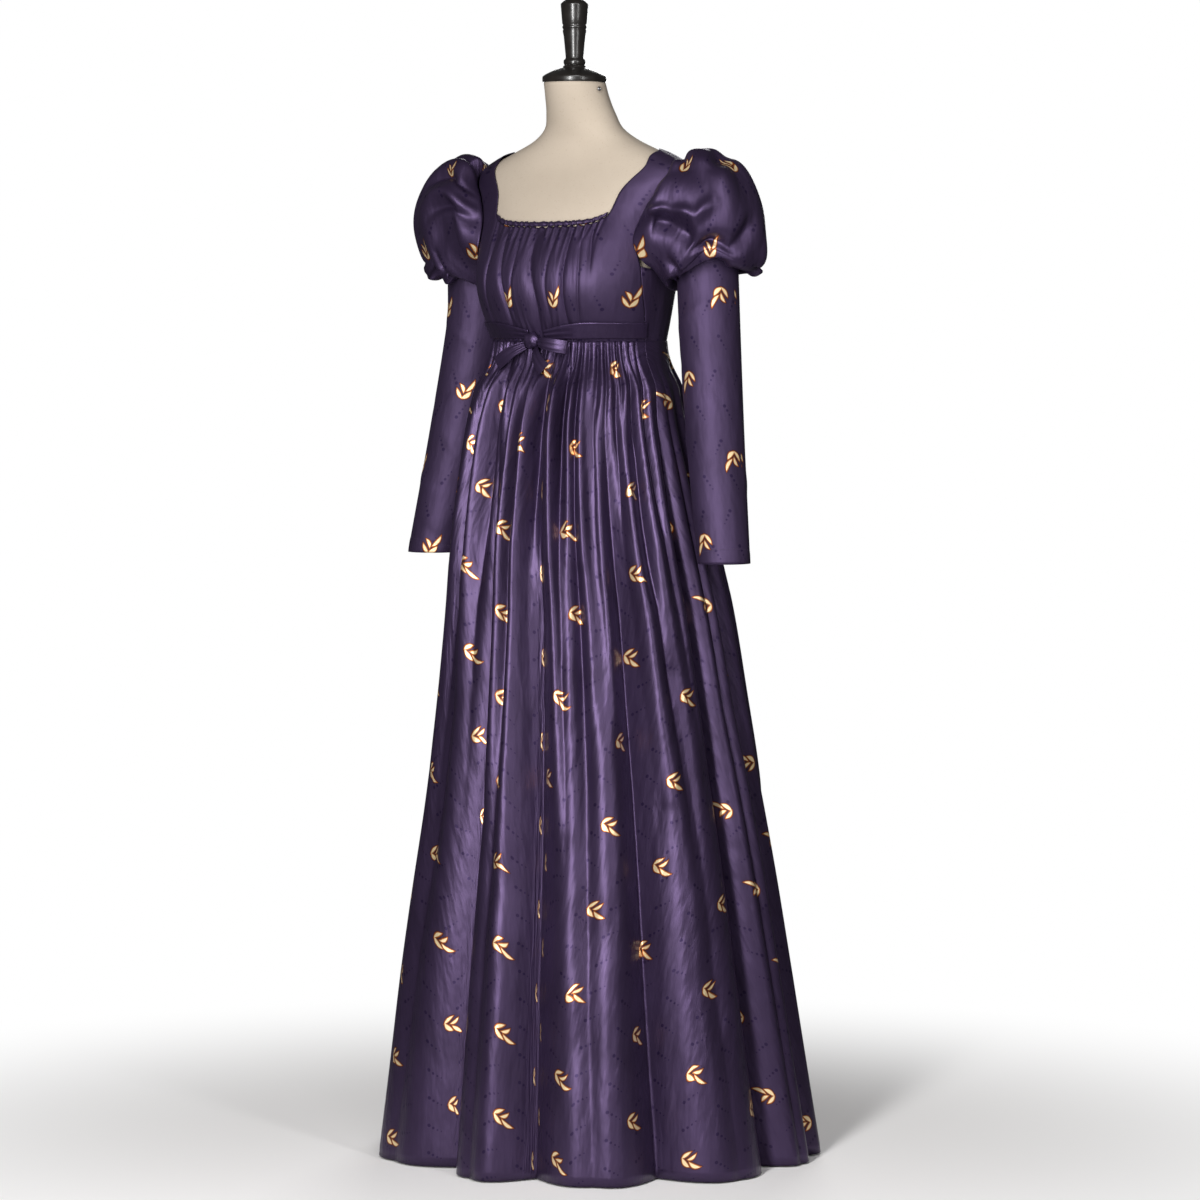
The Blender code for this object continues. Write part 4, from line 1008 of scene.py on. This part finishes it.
def puff_rows(around):
    """The puff's control rows, from the armhole to the seam on the sleeve, at those shares round the arm."""
    angle = curve(ARMHOLE, "share", "angle", around)
    height = curve(ARMHOLE, "share", "height", around)
    rows = [skin(angle, height, bodice_ease(angle, height) + WALL + 2 * LAP)]
    turn = 2 * np.pi * around
    for ring in PUFF:
        inner = np.array([ring.inner_x, ring.y, ring.inner_z])
        outer = np.array([ring.outer_x, ring.y, ring.outer_z])
        spoke = np.cos(turn)[..., None] * (outer - inner) / 2
        spoke = spoke - np.sin(turn)[..., None] * np.array([0, ring.half_width, 0])
        rows.append((inner + outer) / 2 + spoke)
    rows.append(sleeve_place(around, np.full_like(around, PUFF_SEAM), WALL + LAP))
    return np.stack(rows)


def puff_surface(side_name, columns, rows):
    around = np.linspace(0, 1, columns + 1)
    control = puff_rows(around)
    last = len(control) - 1
    along = np.linspace(0, 1, rows + 1)
    points = through_rows(control, along * last)
    a, l = np.meshgrid(around, along)
    across = np.gradient(points, axis=1)
    across[:, 0] = across[:, -1] = points[:, 1] - points[:, -2]
    upward = np.gradient(points, axis=0)
    normal = unit(np.cross(across, upward))
    middle = points.mean(axis=1, keepdims=True)
    normal *= np.sign((normal * (points - middle)).sum(axis=(1, 2)))[:, None, None]
    out = np.zeros_like(a)
    for p in PUCKERS:
        out -= p.depth * np.exp(-((((a - p.around + 0.5) % 1 - 0.5) / p.half_around) ** 2)
                                - ((l - p.along) / p.half_along) ** 2)
    outer_side = smoothstep(-0.7, 0.2, np.cos(2 * np.pi * a))
    near_seam = np.exp(-((l / 0.16) ** 2))
    phase = 2 * np.pi * PUFF_GATHERS * a + 0.8 * np.sin(2 * np.pi * 3 * a + 0.6)
    uneven = 1 + 0.4 * np.sin(2 * np.pi * 5 * a + 1.0)
    out += PUFF_GATHER_DEPTH * near_seam * outer_side * uneven * np.cos(phase)
    for crease in PUFF_CREASES[side_name]:
        for wrap in (-1, 0, 1):
            out += crease.rise * bump_line(
                (a + wrap) * PUFF_GIRTH, l * PUFF_REACH,
                (crease.around_a * PUFF_GIRTH, crease.along_a * PUFF_REACH),
                (crease.around_b * PUFF_GIRTH, crease.along_b * PUFF_REACH), crease.half_width,
            )
    ends = smoothstep(0.0, 0.07, l) * smoothstep(0.0, 0.05, 1 - l)
    points = points + normal * (out * ends)[..., None]
    for lift in PUFF_LIFTS[side_name]:
        apart = ((a - lift.around + 0.5) % 1 - 0.5) / lift.half_around
        rise = lift.rise * np.exp(-(apart**2))
        points[..., 2] += rise * smoothstep(0.45, 0.74, l) * smoothstep(1.0, 0.86, l)
    return points


def puff_uv(points, side):
    """Lengths round and up a puff, as on a globe, so that the print hangs straight on its front."""
    off = points - mirrored(PUFF_MIDDLE, side)
    turn = np.unwrap(np.arctan2(off[..., 0], -off[..., 1]), axis=1)
    rise = np.arcsin(np.clip(off[..., 2] / PUFF_RADIUS, -0.999, 0.999))
    return np.stack([0.088 * turn, 0.105 * rise], axis=-1)


def bodice_uv(points):
    """Lengths round and up the bodice, with the grain straight up."""
    turn = np.arctan2(points[..., 0], -points[..., 1])
    gathered = np.clip(turn, -GATHERED_TURN, GATHERED_TURN)
    return np.stack([0.125 * (turn + 0.6 * gathered), points[..., 2]], axis=-1)


def sleeve_surface(side_name, columns, rows):
    a, l = grid(columns, rows)
    height = CUFF_HEIGHT + (SLEEVE_TOP - CUFF_HEIGHT) * l
    out = np.zeros_like(a)
    flip = RIGHT_SLEEVE_SHIFT if side_name == "right" else 0.0
    for crease in SLEEVE_CREASES:
        for wrap in (-1, 0, 1):
            out += crease.rise * bump_line(
                (a + wrap + flip) * SLEEVE_GIRTH, height,
                (crease.around_a * SLEEVE_GIRTH, crease.height_a - flip),
                (crease.around_b * SLEEVE_GIRTH, crease.height_b - flip), crease.half_width,
            )
    above = height - CUFF_HEIGHT
    out -= 0.0005 * np.exp(-(((above - CUFF_HEM) / 0.0012) ** 2))
    out += 0.0004 * (1 - smoothstep(CUFF_HEM - 0.001, CUFF_HEM + 0.003, above))
    return sleeve_place(a, height, out)


def hang(points, side):
    """The right sleeve hangs a little back and in from where the left one's mirror image would."""
    if side < 0:
        share = smoothstep(SLEEVE_TOP, SLEEVE_TOP - 0.12, points[..., 2])[..., None]
        points = points + np.array(RIGHT_SLEEVE_HANG) * share
    return points


def skirt_surface(start, end, gathers, columns, rows):
    s, t = grid(columns, rows)
    waist_angle = start + SEAM_ANGLE + (end - start - 2 * SEAM_ANGLE) * s
    low = 1 - t
    height = WAIST - (WAIST - HEM_FOOT) * (EVEN_ROWS * low + CROWDED_ROWS * low**1.7)
    knots = np.array([v.waist_angle for v in VALLEYS])
    i = np.clip(np.searchsorted(knots, waist_angle, side="left") - 1, 0, len(VALLEYS) - 2)
    hem = np.array([v.hem_angle for v in VALLEYS])
    deep = np.array([v.depth for v in VALLEYS])
    share = (waist_angle - knots[i]) / (knots[i + 1] - knots[i])
    hem_angle = hem[i] + (hem[i + 1] - hem[i]) * share
    drop = (WAIST - height) / (WAIST - HEM)
    angle = np.radians(waist_angle + (hem_angle - waist_angle) * np.sqrt(drop))
    width, depth, centre = (curve(SKIRT, "height", c, height) for c in ("width", "depth", "centre"))
    big, middle, small = (curve(FOLD_DEPTHS, "height", c, height) for c in ("big", "middle", "gather"))
    fold = big * (deep[i] + (deep[i + 1] - deep[i]) * share)
    fold = fold * (1 - np.sin(np.pi * np.clip(share, 0, 1)) ** FOLD_ROUNDNESS)
    dip = 0.52 + 0.10 * sway(i + 2)
    fold = fold + middle * (0.9 + 0.3 * sway(i)) * np.exp(-(np.abs((share - dip) / DIP_WIDTH) ** 1.5))
    from_front = np.abs((waist_angle + 180) % 360 - 180)
    plain = 1 - smoothstep(FULL_GATHERS[0], FLAT_AT_SEAM[0], from_front)
    plain = plain + smoothstep(FLAT_AT_SEAM[1], FULL_GATHERS[1], from_front)
    phase = 2 * np.pi * gathers * s + 0.9 * np.sin(2 * np.pi * s * gathers / 5.3 + 0.4)
    # Each gather is a round ridge, with a sharp valley between it and the next; lower down two run into one.
    pipe = 1 - 2 * np.abs(np.sin(phase / 2)) ** 1.1
    gather = pipe * plain * (1 + 0.35 * np.sin(phase / 2.7 + 1.3))
    wide = phase / 4 + 0.5 * np.sin(phase / 7.3) + 0.25 * np.sin(9 * height)
    pair = (1 - 2 * np.abs(np.sin(wide)) ** 1.2) * plain * (1 + 0.45 * np.sin(phase / 9.1 + 0.6))
    paired = curve(FOLD_DEPTHS, "height", "pair", height)
    rise = np.zeros_like(s)
    girth = (width + depth) / 2
    for crease in SKIRT_CREASES:
        down = np.clip((crease.top - height) / (crease.top - crease.foot), 0, 1)
        line = crease.top_angle + (crease.foot_angle - crease.top_angle) * down
        apart = np.radians(waist_angle - line) * girth
        wider = crease.half_width * (1.5 + 1.2 * down)
        life = np.sin(np.pi * np.clip(down, 0.02, 1)) ** 0.6 * (down > 0) * (down < 1)
        rise += CREASE_GAIN * crease.rise * life * np.exp(-((apart / wider) ** 2))
    for dent in SKIRT_DENTS:
        rise -= dent.depth * np.exp(-(((waist_angle - dent.angle) / dent.half_angle) ** 2)
                                    - ((height - dent.height) / dent.half_height) ** 2)
    rise *= smoothstep(0.0, 0.02, WAIST - height)
    right_side = np.exp(-(((np.degrees(angle) + 58) / 30) ** 2))
    rise += RIGHT_SIDE_SWING * right_side * smoothstep(0.75, 0.25, height)
    inward = unit(points_of(-np.sin(angle) / width, np.cos(angle) / depth, 0.0 * height))
    point = points_of(width * np.sin(angle), centre - depth * np.cos(angle), height)
    point = point + inward * (fold + small * gather + paired * pair - rise)[..., None]
    at_seam = smoothstep(GATHER_FADE, WAIST, height)
    waist = np.full_like(height, WAIST)
    ring = level_skin(waist_angle, waist, bodice_ease(waist_angle, waist))
    ring = ring + inward * (small * gather)[..., None]
    point[..., :2] += (ring - point)[..., :2] * at_seam[..., None]
    return point


def front_skirt_uv(points):
    """The front panel's cloth lengths, with what its deep valleys hide let in between the folds."""
    uv = cloth_uv(points)
    rows, columns = points.shape[:2]
    s = grid(columns - 1, rows - 1)[0]
    height = points[..., 2]
    uv[..., 0] += curve(PRINT_DRIFT, "height", "aside", height)
    for valley in HIDDEN_CLOTH:
        at = (valley.waist_angle + SIDE_SEAM) / (2 * SIDE_SEAM)
        amount = valley.at_waist + (1 - valley.at_waist) * smoothstep(0.90, 0.10, height)
        uv[..., 0] += valley.width * amount * (smoothstep(at - 0.016, at + 0.016, s) - (at < 0.5))
    return uv


def sash_place(s, t):
    """Left half of the sash: s runs from the knot to the side seam, t from the lower edge to the upper."""
    last = SIDE_SEAM - 2 * SEAM_ANGLE
    angle = SASH[0].angle + (last - SASH[0].angle) * s
    height = curve(SASH, "angle", "height", angle)
    height = height + (t * 2 - 1) * curve(SASH, "angle", "half_width", angle)
    near_knot = 1 - smoothstep(0.0, 0.45, s)
    crease = 0.0006 * near_knot * np.cos(5 * np.pi * t + 2 * s) + 0.0003 * np.sin(9 * s + 2 * t)
    return level_skin(angle, height, bodice_ease(angle, height) + WALL + 3 * LAP + crease)


def front_of_gown(x, z):
    width, depth, centre = (curve(SKIRT, "height", c, z) for c in ("width", "depth", "centre"))
    return centre - depth * np.sqrt(1 - (x / width) ** 2)


def ribbon_surface(points, columns, rows):
    """A band that hangs from the knot: narrow and creased there, and opening out towards its end."""
    control = []
    s = np.linspace(-1, 1, columns + 1)
    first = points[0]
    far = max(points, key=lambda p: math.hypot(p.x - first.x, p.z - first.z))
    along = unit(np.array([far.x - first.x, 0.0, far.z - first.z]))
    across = np.array([-along[2], 0.0, along[0]])
    for p in points:
        middle = np.array([p.x, float(front_of_gown(p.x, p.z)) - p.out, p.z])
        control.append(middle + np.outer(s * p.half_width, across))
    at = np.linspace(0, len(points) - 1, rows + 1)
    surface_points = through_rows(np.stack(control), at)
    near = np.exp(-at / 1.2)[:, None]
    if far is not points[-1]:
        near = near + np.exp(-(at[-1] - at) / 1.2)[:, None]
    crease = 0.0011 * near * np.cos(2.5 * np.pi * s)[None, :] - 0.0010 * (1 - s**2)[None, :] * (1 - near)
    surface_points[..., 1] += crease
    return surface_points


def turned_piece(name, profile, material, centre_y=0.0, sides=96):
    """Turns a profile on the vertical axis: a circle at its foot, extruded ring by ring to the top."""
    rings = list(reversed(profile))
    bpy.ops.object.select_all(action="DESELECT")
    bpy.ops.mesh.primitive_circle_add(
        vertices=sides, radius=rings[0].radius, fill_type="NGON", location=(0, centre_y, rings[0].height))
    piece = bpy.context.object
    piece.name = piece.data.name = name
    bpy.ops.object.mode_set(mode="EDIT")
    bpy.ops.mesh.select_all(action="SELECT")
    for lower, upper in zip(rings, rings[1:]):
        step = (0, 0, upper.height - lower.height)
        bpy.ops.mesh.extrude_region_move(TRANSFORM_OT_translate={"value": step})
        share = upper.radius / lower.radius
        bpy.ops.transform.resize(value=(share, share, 1), center_override=(0, centre_y, upper.height))
    bpy.ops.mesh.select_all(action="SELECT")
    bpy.ops.mesh.normals_make_consistent(inside=False)
    bpy.ops.object.mode_set(mode="OBJECT")
    bpy.ops.object.transform_apply(location=True, rotation=True, scale=True)
    bpy.ops.object.shade_smooth_by_angle(angle=math.radians(40))
    piece.data.materials.clear()
    piece.data.materials.append(material)
    return piece


def colour_property(name, description, hex_colour):
    return bpy.props.FloatVectorProperty(
        name=name, description=description, size=4, min=0, max=1, subtype="COLOR", default=linear(hex_colour))


class GownSettings(bpy.types.PropertyGroup):
    satin_light: colour_property("Satin, light", "Paler tone of the plum ground", "#463756")
    satin_dark: colour_property("Satin, dark", "Deeper tone of the plum ground", "#352941")
    satin_roughness: bpy.props.FloatProperty(
        name="Satin roughness", description="How soft the satin's gloss is", default=0.38, min=0.1, max=0.9)
    print_cream: colour_property("Leaf", "Cream of the printed leaves", "#F3DCAE")
    print_orange: colour_property("Leaf edge", "Burnt orange round the leaves", "#A85A20")
    print_brown: colour_property("Leaf shadow", "Brown between and round the leaves", "#3A2026")
    print_indigo: colour_property("Dots", "Indigo of the dot trails", "#241638")


class DressFormSettings(bpy.types.PropertyGroup):
    linen_light: colour_property("Linen, light", "Paler tone of the linen", "#BBAE9F")
    linen_dark: colour_property("Linen, dark", "Deeper tone of the linen", "#AA9D8D")
    lacquer: colour_property("Lacquer", "Black lacquer of the cap and the base", "#0E0C0D")


class StudioSettings(bpy.types.PropertyGroup):
    azimuth: bpy.props.FloatProperty(
        name="Azimuth", default=35.0,
        description="Camera's angle from the gown's front towards its left, in degrees")
    distance: bpy.props.FloatProperty(
        name="Distance", description="Camera's distance from the stand's axis", default=6.72, unit="LENGTH")
    height: bpy.props.FloatProperty(
        name="Height", description="Camera's height over the floor", default=1.29, unit="LENGTH")
    focal: bpy.props.FloatProperty(
        name="Focal length", description="Focal length in millimetres on a 36 mm sensor", default=133.1)
    aim_height: bpy.props.FloatProperty(
        name="Aim height", default=0.846, unit="LENGTH",
        description="Height of the point that the picture centres on")
    aim_side: bpy.props.FloatProperty(
        name="Aim to the side", description="That point's distance to the right of the axis", default=0.029,
        unit="LENGTH")


def white_to_camera(tree):
    """Strength of a glow that the camera sees as white and that lights the gown only faintly."""
    seen = add(tree, "ShaderNodeLightPath").outputs["Is Camera Ray"]
    return add(tree, "ShaderNodeMapRange", {"Value": seen, "To Min": WORLD_LIGHT, "To Max": 1.0}).outputs[0]


class STUDIO_OT_set_stage(bpy.types.Operator):
    """Sets the camera, the pale floor and the soft studio lights"""
    bl_idname = "studio.set_stage"
    bl_label = "Set the stage"

    def execute(self, context):
        studio = context.scene.studio
        turn = math.radians(studio.azimuth)
        right = Vector((math.cos(turn), math.sin(turn), 0))
        camera = bpy.data.objects.new("Camera", bpy.data.cameras.new("Camera"))
        context.scene.collection.objects.link(camera)
        camera.data.lens = studio.focal
        camera.data.sensor_width = 36.0
        camera.location = (studio.distance * math.sin(turn), -studio.distance * math.cos(turn), studio.height)
        aim = right * studio.aim_side + Vector((0, 0, studio.aim_height))
        camera.rotation_euler = (aim - camera.location).to_track_quat("-Z", "Y").to_euler()
        context.scene.camera = camera
        self.add_floor(context)
        self.add_lights(context, turn)
        context.scene.view_settings.view_transform = "Standard"
        return {"FINISHED"}

    def add_floor(self, context):
        bpy.ops.object.select_all(action="DESELECT")
        bpy.ops.mesh.primitive_plane_add(size=FLOOR_SIZE, location=(0, 0, 0))
        floor = context.object
        floor.name = "studio_floor"
        finish, tree = blank_material("white paper floor")
        place = add(tree, "ShaderNodeTexCoord").outputs["Object"]
        far = add(tree, "ShaderNodeVectorMath", {0: place}, operation="LENGTH").outputs["Value"]
        near = {"Value": far, "From Min": FLOOR_FADE[0], "From Max": FLOOR_FADE[1]}
        away = add(tree, "ShaderNodeMapRange", near, interpolation_type="SMOOTHSTEP")
        paper = add(tree, "ShaderNodeBsdfDiffuse", {"Color": linear("#F4F2F1")})
        strength = white_to_camera(tree)
        glow = add(tree, "ShaderNodeEmission", {"Color": (1, 1, 1, 1), "Strength": strength})
        mix = add(tree, "ShaderNodeMixShader", {0: away.outputs[0], 1: paper.outputs[0], 2: glow.outputs[0]})
        add(tree, "ShaderNodeOutputMaterial", {"Surface": mix.outputs[0]})
        floor.data.materials.append(finish)

    def add_lights(self, context, turn):
        world = bpy.data.worlds.new("studio")
        context.scene.world = world
        world.use_nodes = True
        tree = world.node_tree
        tree.nodes.clear()
        strength = white_to_camera(tree)
        sky = add(tree, "ShaderNodeBackground", {"Color": (1, 1, 1, 1), "Strength": strength})
        add(tree, "ShaderNodeOutputWorld", {"Surface": sky.outputs[0]})
        for name, azimuth, distance, height, size, power_watts in STUDIO_LIGHTS:
            at = turn + math.radians(azimuth)
            light = bpy.data.lights.new(name, "AREA")
            light.shape = "RECTANGLE"
            light.size, light.size_y = size
            light.energy = power_watts
            lamp = bpy.data.objects.new(name, light)
            context.scene.collection.objects.link(lamp)
            lamp.location = (distance * math.sin(at), -distance * math.cos(at), height)
            lamp.rotation_euler = (Vector(LIGHT_AIM) - lamp.location).to_track_quat("-Z", "Y").to_euler()


class FORM_OT_make_figure(bpy.types.Operator):
    """Makes the padded linen figure with its neck"""
    bl_idname = "dress_form.make_figure"
    bl_label = "Figure"

    def execute(self, context):
        s, t = grid(*MESH_SIZE["figure"])
        height = FIGURE_FOOT + (NECK_TOP - FIGURE_FOOT) * t
        points = figure_point(360 * s, height)
        uv = cloth_uv(points)
        piece = surface("figure", points, uv, finish_named("form linen", linen), closed=True)
        bpy.ops.object.select_all(action="DESELECT")
        piece.select_set(True)
        context.view_layer.objects.active = piece
        bpy.ops.object.mode_set(mode="EDIT")
        bpy.ops.mesh.select_all(action="SELECT")
        bpy.ops.mesh.region_to_loop()
        bpy.ops.mesh.edge_face_add()
        bpy.ops.object.mode_set(mode="OBJECT")
        wear(piece, "form_torso")
        return {"FINISHED"}


class FORM_OT_make_stand(bpy.types.Operator):
    """Makes the turned neck cap, finial, stud, pole and base"""
    bl_idname = "dress_form.make_stand"
    bl_label = "Cap and stand"

    def execute(self, context):
        black = finish_named("black lacquered beech", lacquer)
        grey = finish_named("brushed steel", steel)
        for name, node, profile, lean in (
            ("cap", "neck_cap", CAP_PROFILE, NECK_LEAN),
            ("finial", "neck_finial", FINIAL_PROFILE, NECK_LEAN),
            ("base", "stand_base", BASE_PROFILE, 0.0),
        ):
            wear(turned_piece(name, profile, black, lean), node)
        low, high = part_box("stand_pole")
        radius = (high.x - low.x) / 2
        edge = POLE_EDGE
        profile = table(
            PROFILE_COLUMNS,
            (radius - edge, high.z), (radius, high.z - edge), (radius, low.z + edge), (radius - edge, low.z),
        )
        pole = turned_piece("pole", profile, grey, sides=48)
        wear(pole, "stand_pole")
        low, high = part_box("neck_stud")
        stud = turned_piece("stud", STUD_PROFILE, grey, sides=36)
        stud.location = (low + high) / 2
        stud.rotation_euler = Vector(STUD_FACES).to_track_quat("Z", "Y").to_euler()
        bpy.ops.object.transform_apply(location=True, rotation=True, scale=True)
        wear(stud, "neck_stud")
        return {"FINISHED"}


class GOWN_OT_make_bodice(bpy.types.Operator):
    """Makes the gathered bodice front, the two plain backs and the ruched casing at the neckline"""
    bl_idname = "gown.make_bodice"
    bl_label = "Bodice"

    def execute(self, context):
        satin = satin_for("bodice")
        columns, rows = MESH_SIZE["bodice front"]
        s, t = grid(columns, rows)
        points = front_place(s, t)
        centre = np.abs((np.arange(columns) + 0.5) / columns - 0.5) * 2
        level = (np.arange(rows) + 0.5) / rows * BODICE_ROWS
        keep = (centre[None, :] > FRONT_MIDDLE_SHARE) | (level[:, None] < CORNER_ROW)
        make_cloth("bodice_front", points, bodice_uv(points), satin, "bodice_front", keep=keep)
        for name, side in SIDES:
            s, t = grid(*MESH_SIZE["bodice back"])
            points = mirrored(back_place(s, t), side)
            make_cloth("bodice_back_" + name, points, bodice_uv(points), satin, "bodice_back")
        self.add_casing(satin)
        return {"FINISHED"}

    def add_casing(self, satin):
        t, s = grid(NECK_GATHERS * 12, 16)
        across, turn = (t * 2 - 1) * CASING_REACH, 2 * np.pi * s
        angle = NECKLINE_CORNER.inner_angle * across
        height = NECKLINE_CORNER.inner_height - neckline_drop(across)
        phase = math.pi * NECK_GATHERS * (across + 1)
        wave = phase + 0.9 * np.sin(phase / 3.3) + 0.5 * np.sin(phase / 1.7 + turn)
        lump = 1 + 0.20 * np.cos(wave) + 0.10 * np.cos(2.3 * wave + 1.0 + 2 * turn)
        end = np.sqrt(np.clip(1 - (np.abs(across) / CASING_REACH) ** 40, 0.0, 1.0)) * 0.9 + 0.1
        out = bodice_ease(angle, height) + 1.1 * CASING_DEPTH * lump * end * np.cos(turn)
        out = out + 0.0004 * np.cos(3 * turn + wave) * np.clip(np.cos(turn), 0, 1)
        points = skin(angle, height + LAP + CASING_HEIGHT * (1 + lump * end * np.sin(turn)), out)
        points = np.swapaxes(points, 0, 1)
        uv = np.stack([lengths(points, 0), lengths(points, 1)], axis=-1)
        node = "neckline_casing"
        make_cloth(node, points, uv, satin, node, thickness=CASING_THICKNESS, closed=True)


class GOWN_OT_make_sleeves(bpy.types.Operator):
    """Makes the two puffs and the long sleeves under them, with their stitched cuffs"""
    bl_idname = "gown.make_sleeves"
    bl_label = "Puffs and sleeves"

    def execute(self, context):
        for name, side in SIDES:
            points = mirrored(puff_surface(name, *MESH_SIZE["puff"]), side)
            uv = puff_uv(points, side)
            make_cloth("puff_" + name, points, uv, satin_for("puff"), "puff", closed=True)
            columns, rows = MESH_SIZE["sleeve"]
            points = hang(mirrored(sleeve_surface(name, columns, rows), side), side)
            uv = cloth_uv(points, -side)
            # The seam is under the arm: the print runs unbroken round the outside.
            girth = uv[:, -1:, 0].copy()
            uv[:, uv.shape[1] // 2 + 1:, 0] -= girth
            satin = satin_for("sleeve " + name)
            sleeve = shell(surface("satin_sleeve_" + name, points, uv, satin, closed=True))
            around = np.linspace(0, 1, columns + 1)[:-1]
            height = np.full_like(around, CUFF_HEIGHT + CUFF_HEM)
            line = hang(mirrored(sleeve_place(around, height, SATIN_THICKNESS / 2), side), side)
            outward = unit(line - line.mean(axis=0))
            thread = stitches("cuff_stitches_" + name, line, outward, loop=True)
            wear(sleeve, "sleeve_" + name)
        return {"FINISHED"}


class GOWN_OT_make_skirt(bpy.types.Operator):
    """Makes the front and the back of the gathered skirt"""
    bl_idname = "gown.make_skirt"
    bl_label = "Skirt"

    def execute(self, context):
        for panel, gathers, start, end in (
            ("front", FRONT_GATHERS, -SIDE_SEAM, SIDE_SEAM),
            ("back", BACK_GATHERS, SIDE_SEAM, 360 - SIDE_SEAM),
        ):
            points = skirt_surface(start, end, gathers, SKIRT_COLUMNS[panel], SKIRT_ROWS)
            uv = front_skirt_uv(points) if panel == "front" else cloth_uv(points)
            node = "skirt_" + panel
            make_cloth(node, points, uv, satin_for("skirt " + panel), node)
        return {"FINISHED"}


class GOWN_OT_make_sash(bpy.types.Operator):
    """Makes the sash and the bow that ties it at centre front"""
    bl_idname = "gown.make_sash"
    bl_label = "Sash and bow"

    def execute(self, context):
        satin = satin_for("sash")
        for name, side in SIDES:
            s, t = grid(*MESH_SIZE["sash"])
            points = mirrored(sash_place(s, t), side)
            uv = cloth_uv(points, side)
            make_cloth("sash_" + name, points, uv, satin, "sash", "sash_satin", RIBBON_THICKNESS)
        for name, points in RIBBONS.items():
            cut, rows = ("bow_loop", LOOP_LONG) if name == "bow_loop" else ("bow_tail", TAIL_LONG)
            spread = ribbon_surface(points, RIBBON_WIDE, rows)
            make_cloth(name, spread, cloth_uv(spread), satin, cut, "sash_satin", RIBBON_THICKNESS)
        self.add_knot(satin)
        return {"FINISHED"}

    def add_knot(self, satin):
        s, t = grid(*MESH_SIZE["knot"])
        turn, rise = 2 * np.pi * s, np.pi * (t * 0.998 + 0.001)
        wrap = 0.06 * np.cos(6 * rise + 2.0 * np.sin(turn)) + 0.04 * np.cos(3 * turn + 4 * rise)
        size = 1 + wrap * np.sin(rise)
        x, z = KNOT_CENTRE
        # The wraps run up and down over the knot, so its poles are at its left and right.
        points = points_of(
            x - KNOT_SIZE[0] * np.cos(rise) * size * 0.98,
            float(front_of_gown(x, z)) - KNOT_OUT - KNOT_SIZE[1] * np.sin(rise) * np.cos(turn) * size,
            z + KNOT_SIZE[2] * np.sin(rise) * np.sin(turn) * size,
        )
        knot = surface("satin_bow_knot", points, cloth_uv(points), satin, closed=True)
        wear(knot, "bow_knot")


class GOWN_PT_pieces(bpy.types.Panel):
    """Lists the steps that make the gown and its dress form"""
    bl_label = "Ball gown"
    bl_idname = "GOWN_PT_pieces"
    bl_space_type = "VIEW_3D"
    bl_region_type = "UI"
    bl_category = "Ball gown"

    def draw(self, context):
        layout = self.layout
        for group in ("gown", "dress_form", "studio"):
            settings = getattr(context.scene, group)
            for name in type(settings).__annotations__:
                layout.prop(settings, name)
        for step in STEPS:
            layout.operator(step.bl_idname)


STEPS = (
    STUDIO_OT_set_stage, FORM_OT_make_figure, FORM_OT_make_stand, GOWN_OT_make_bodice, GOWN_OT_make_sleeves,
    GOWN_OT_make_skirt, GOWN_OT_make_sash,
)
SETTINGS = {"gown": GownSettings, "dress_form": DressFormSettings, "studio": StudioSettings}


def register():
    for kind in (*SETTINGS.values(), *STEPS, GOWN_PT_pieces):
        bpy.utils.register_class(kind)
    for name, kind in SETTINGS.items():
        setattr(bpy.types.Scene, name, bpy.props.PointerProperty(type=kind))


def unregister():
    for name in SETTINGS:
        delattr(bpy.types.Scene, name)
    for kind in (GOWN_PT_pieces, *reversed(STEPS), *reversed(SETTINGS.values())):
        bpy.utils.unregister_class(kind)


def main():
    register()
    bpy.ops.studio.set_stage()
    bpy.ops.dress_form.make_figure()
    bpy.ops.dress_form.make_stand()
    bpy.ops.gown.make_bodice()
    bpy.ops.gown.make_sleeves()
    bpy.ops.gown.make_skirt()
    bpy.ops.gown.make_sash()


if __name__ == "__main__":
    main()
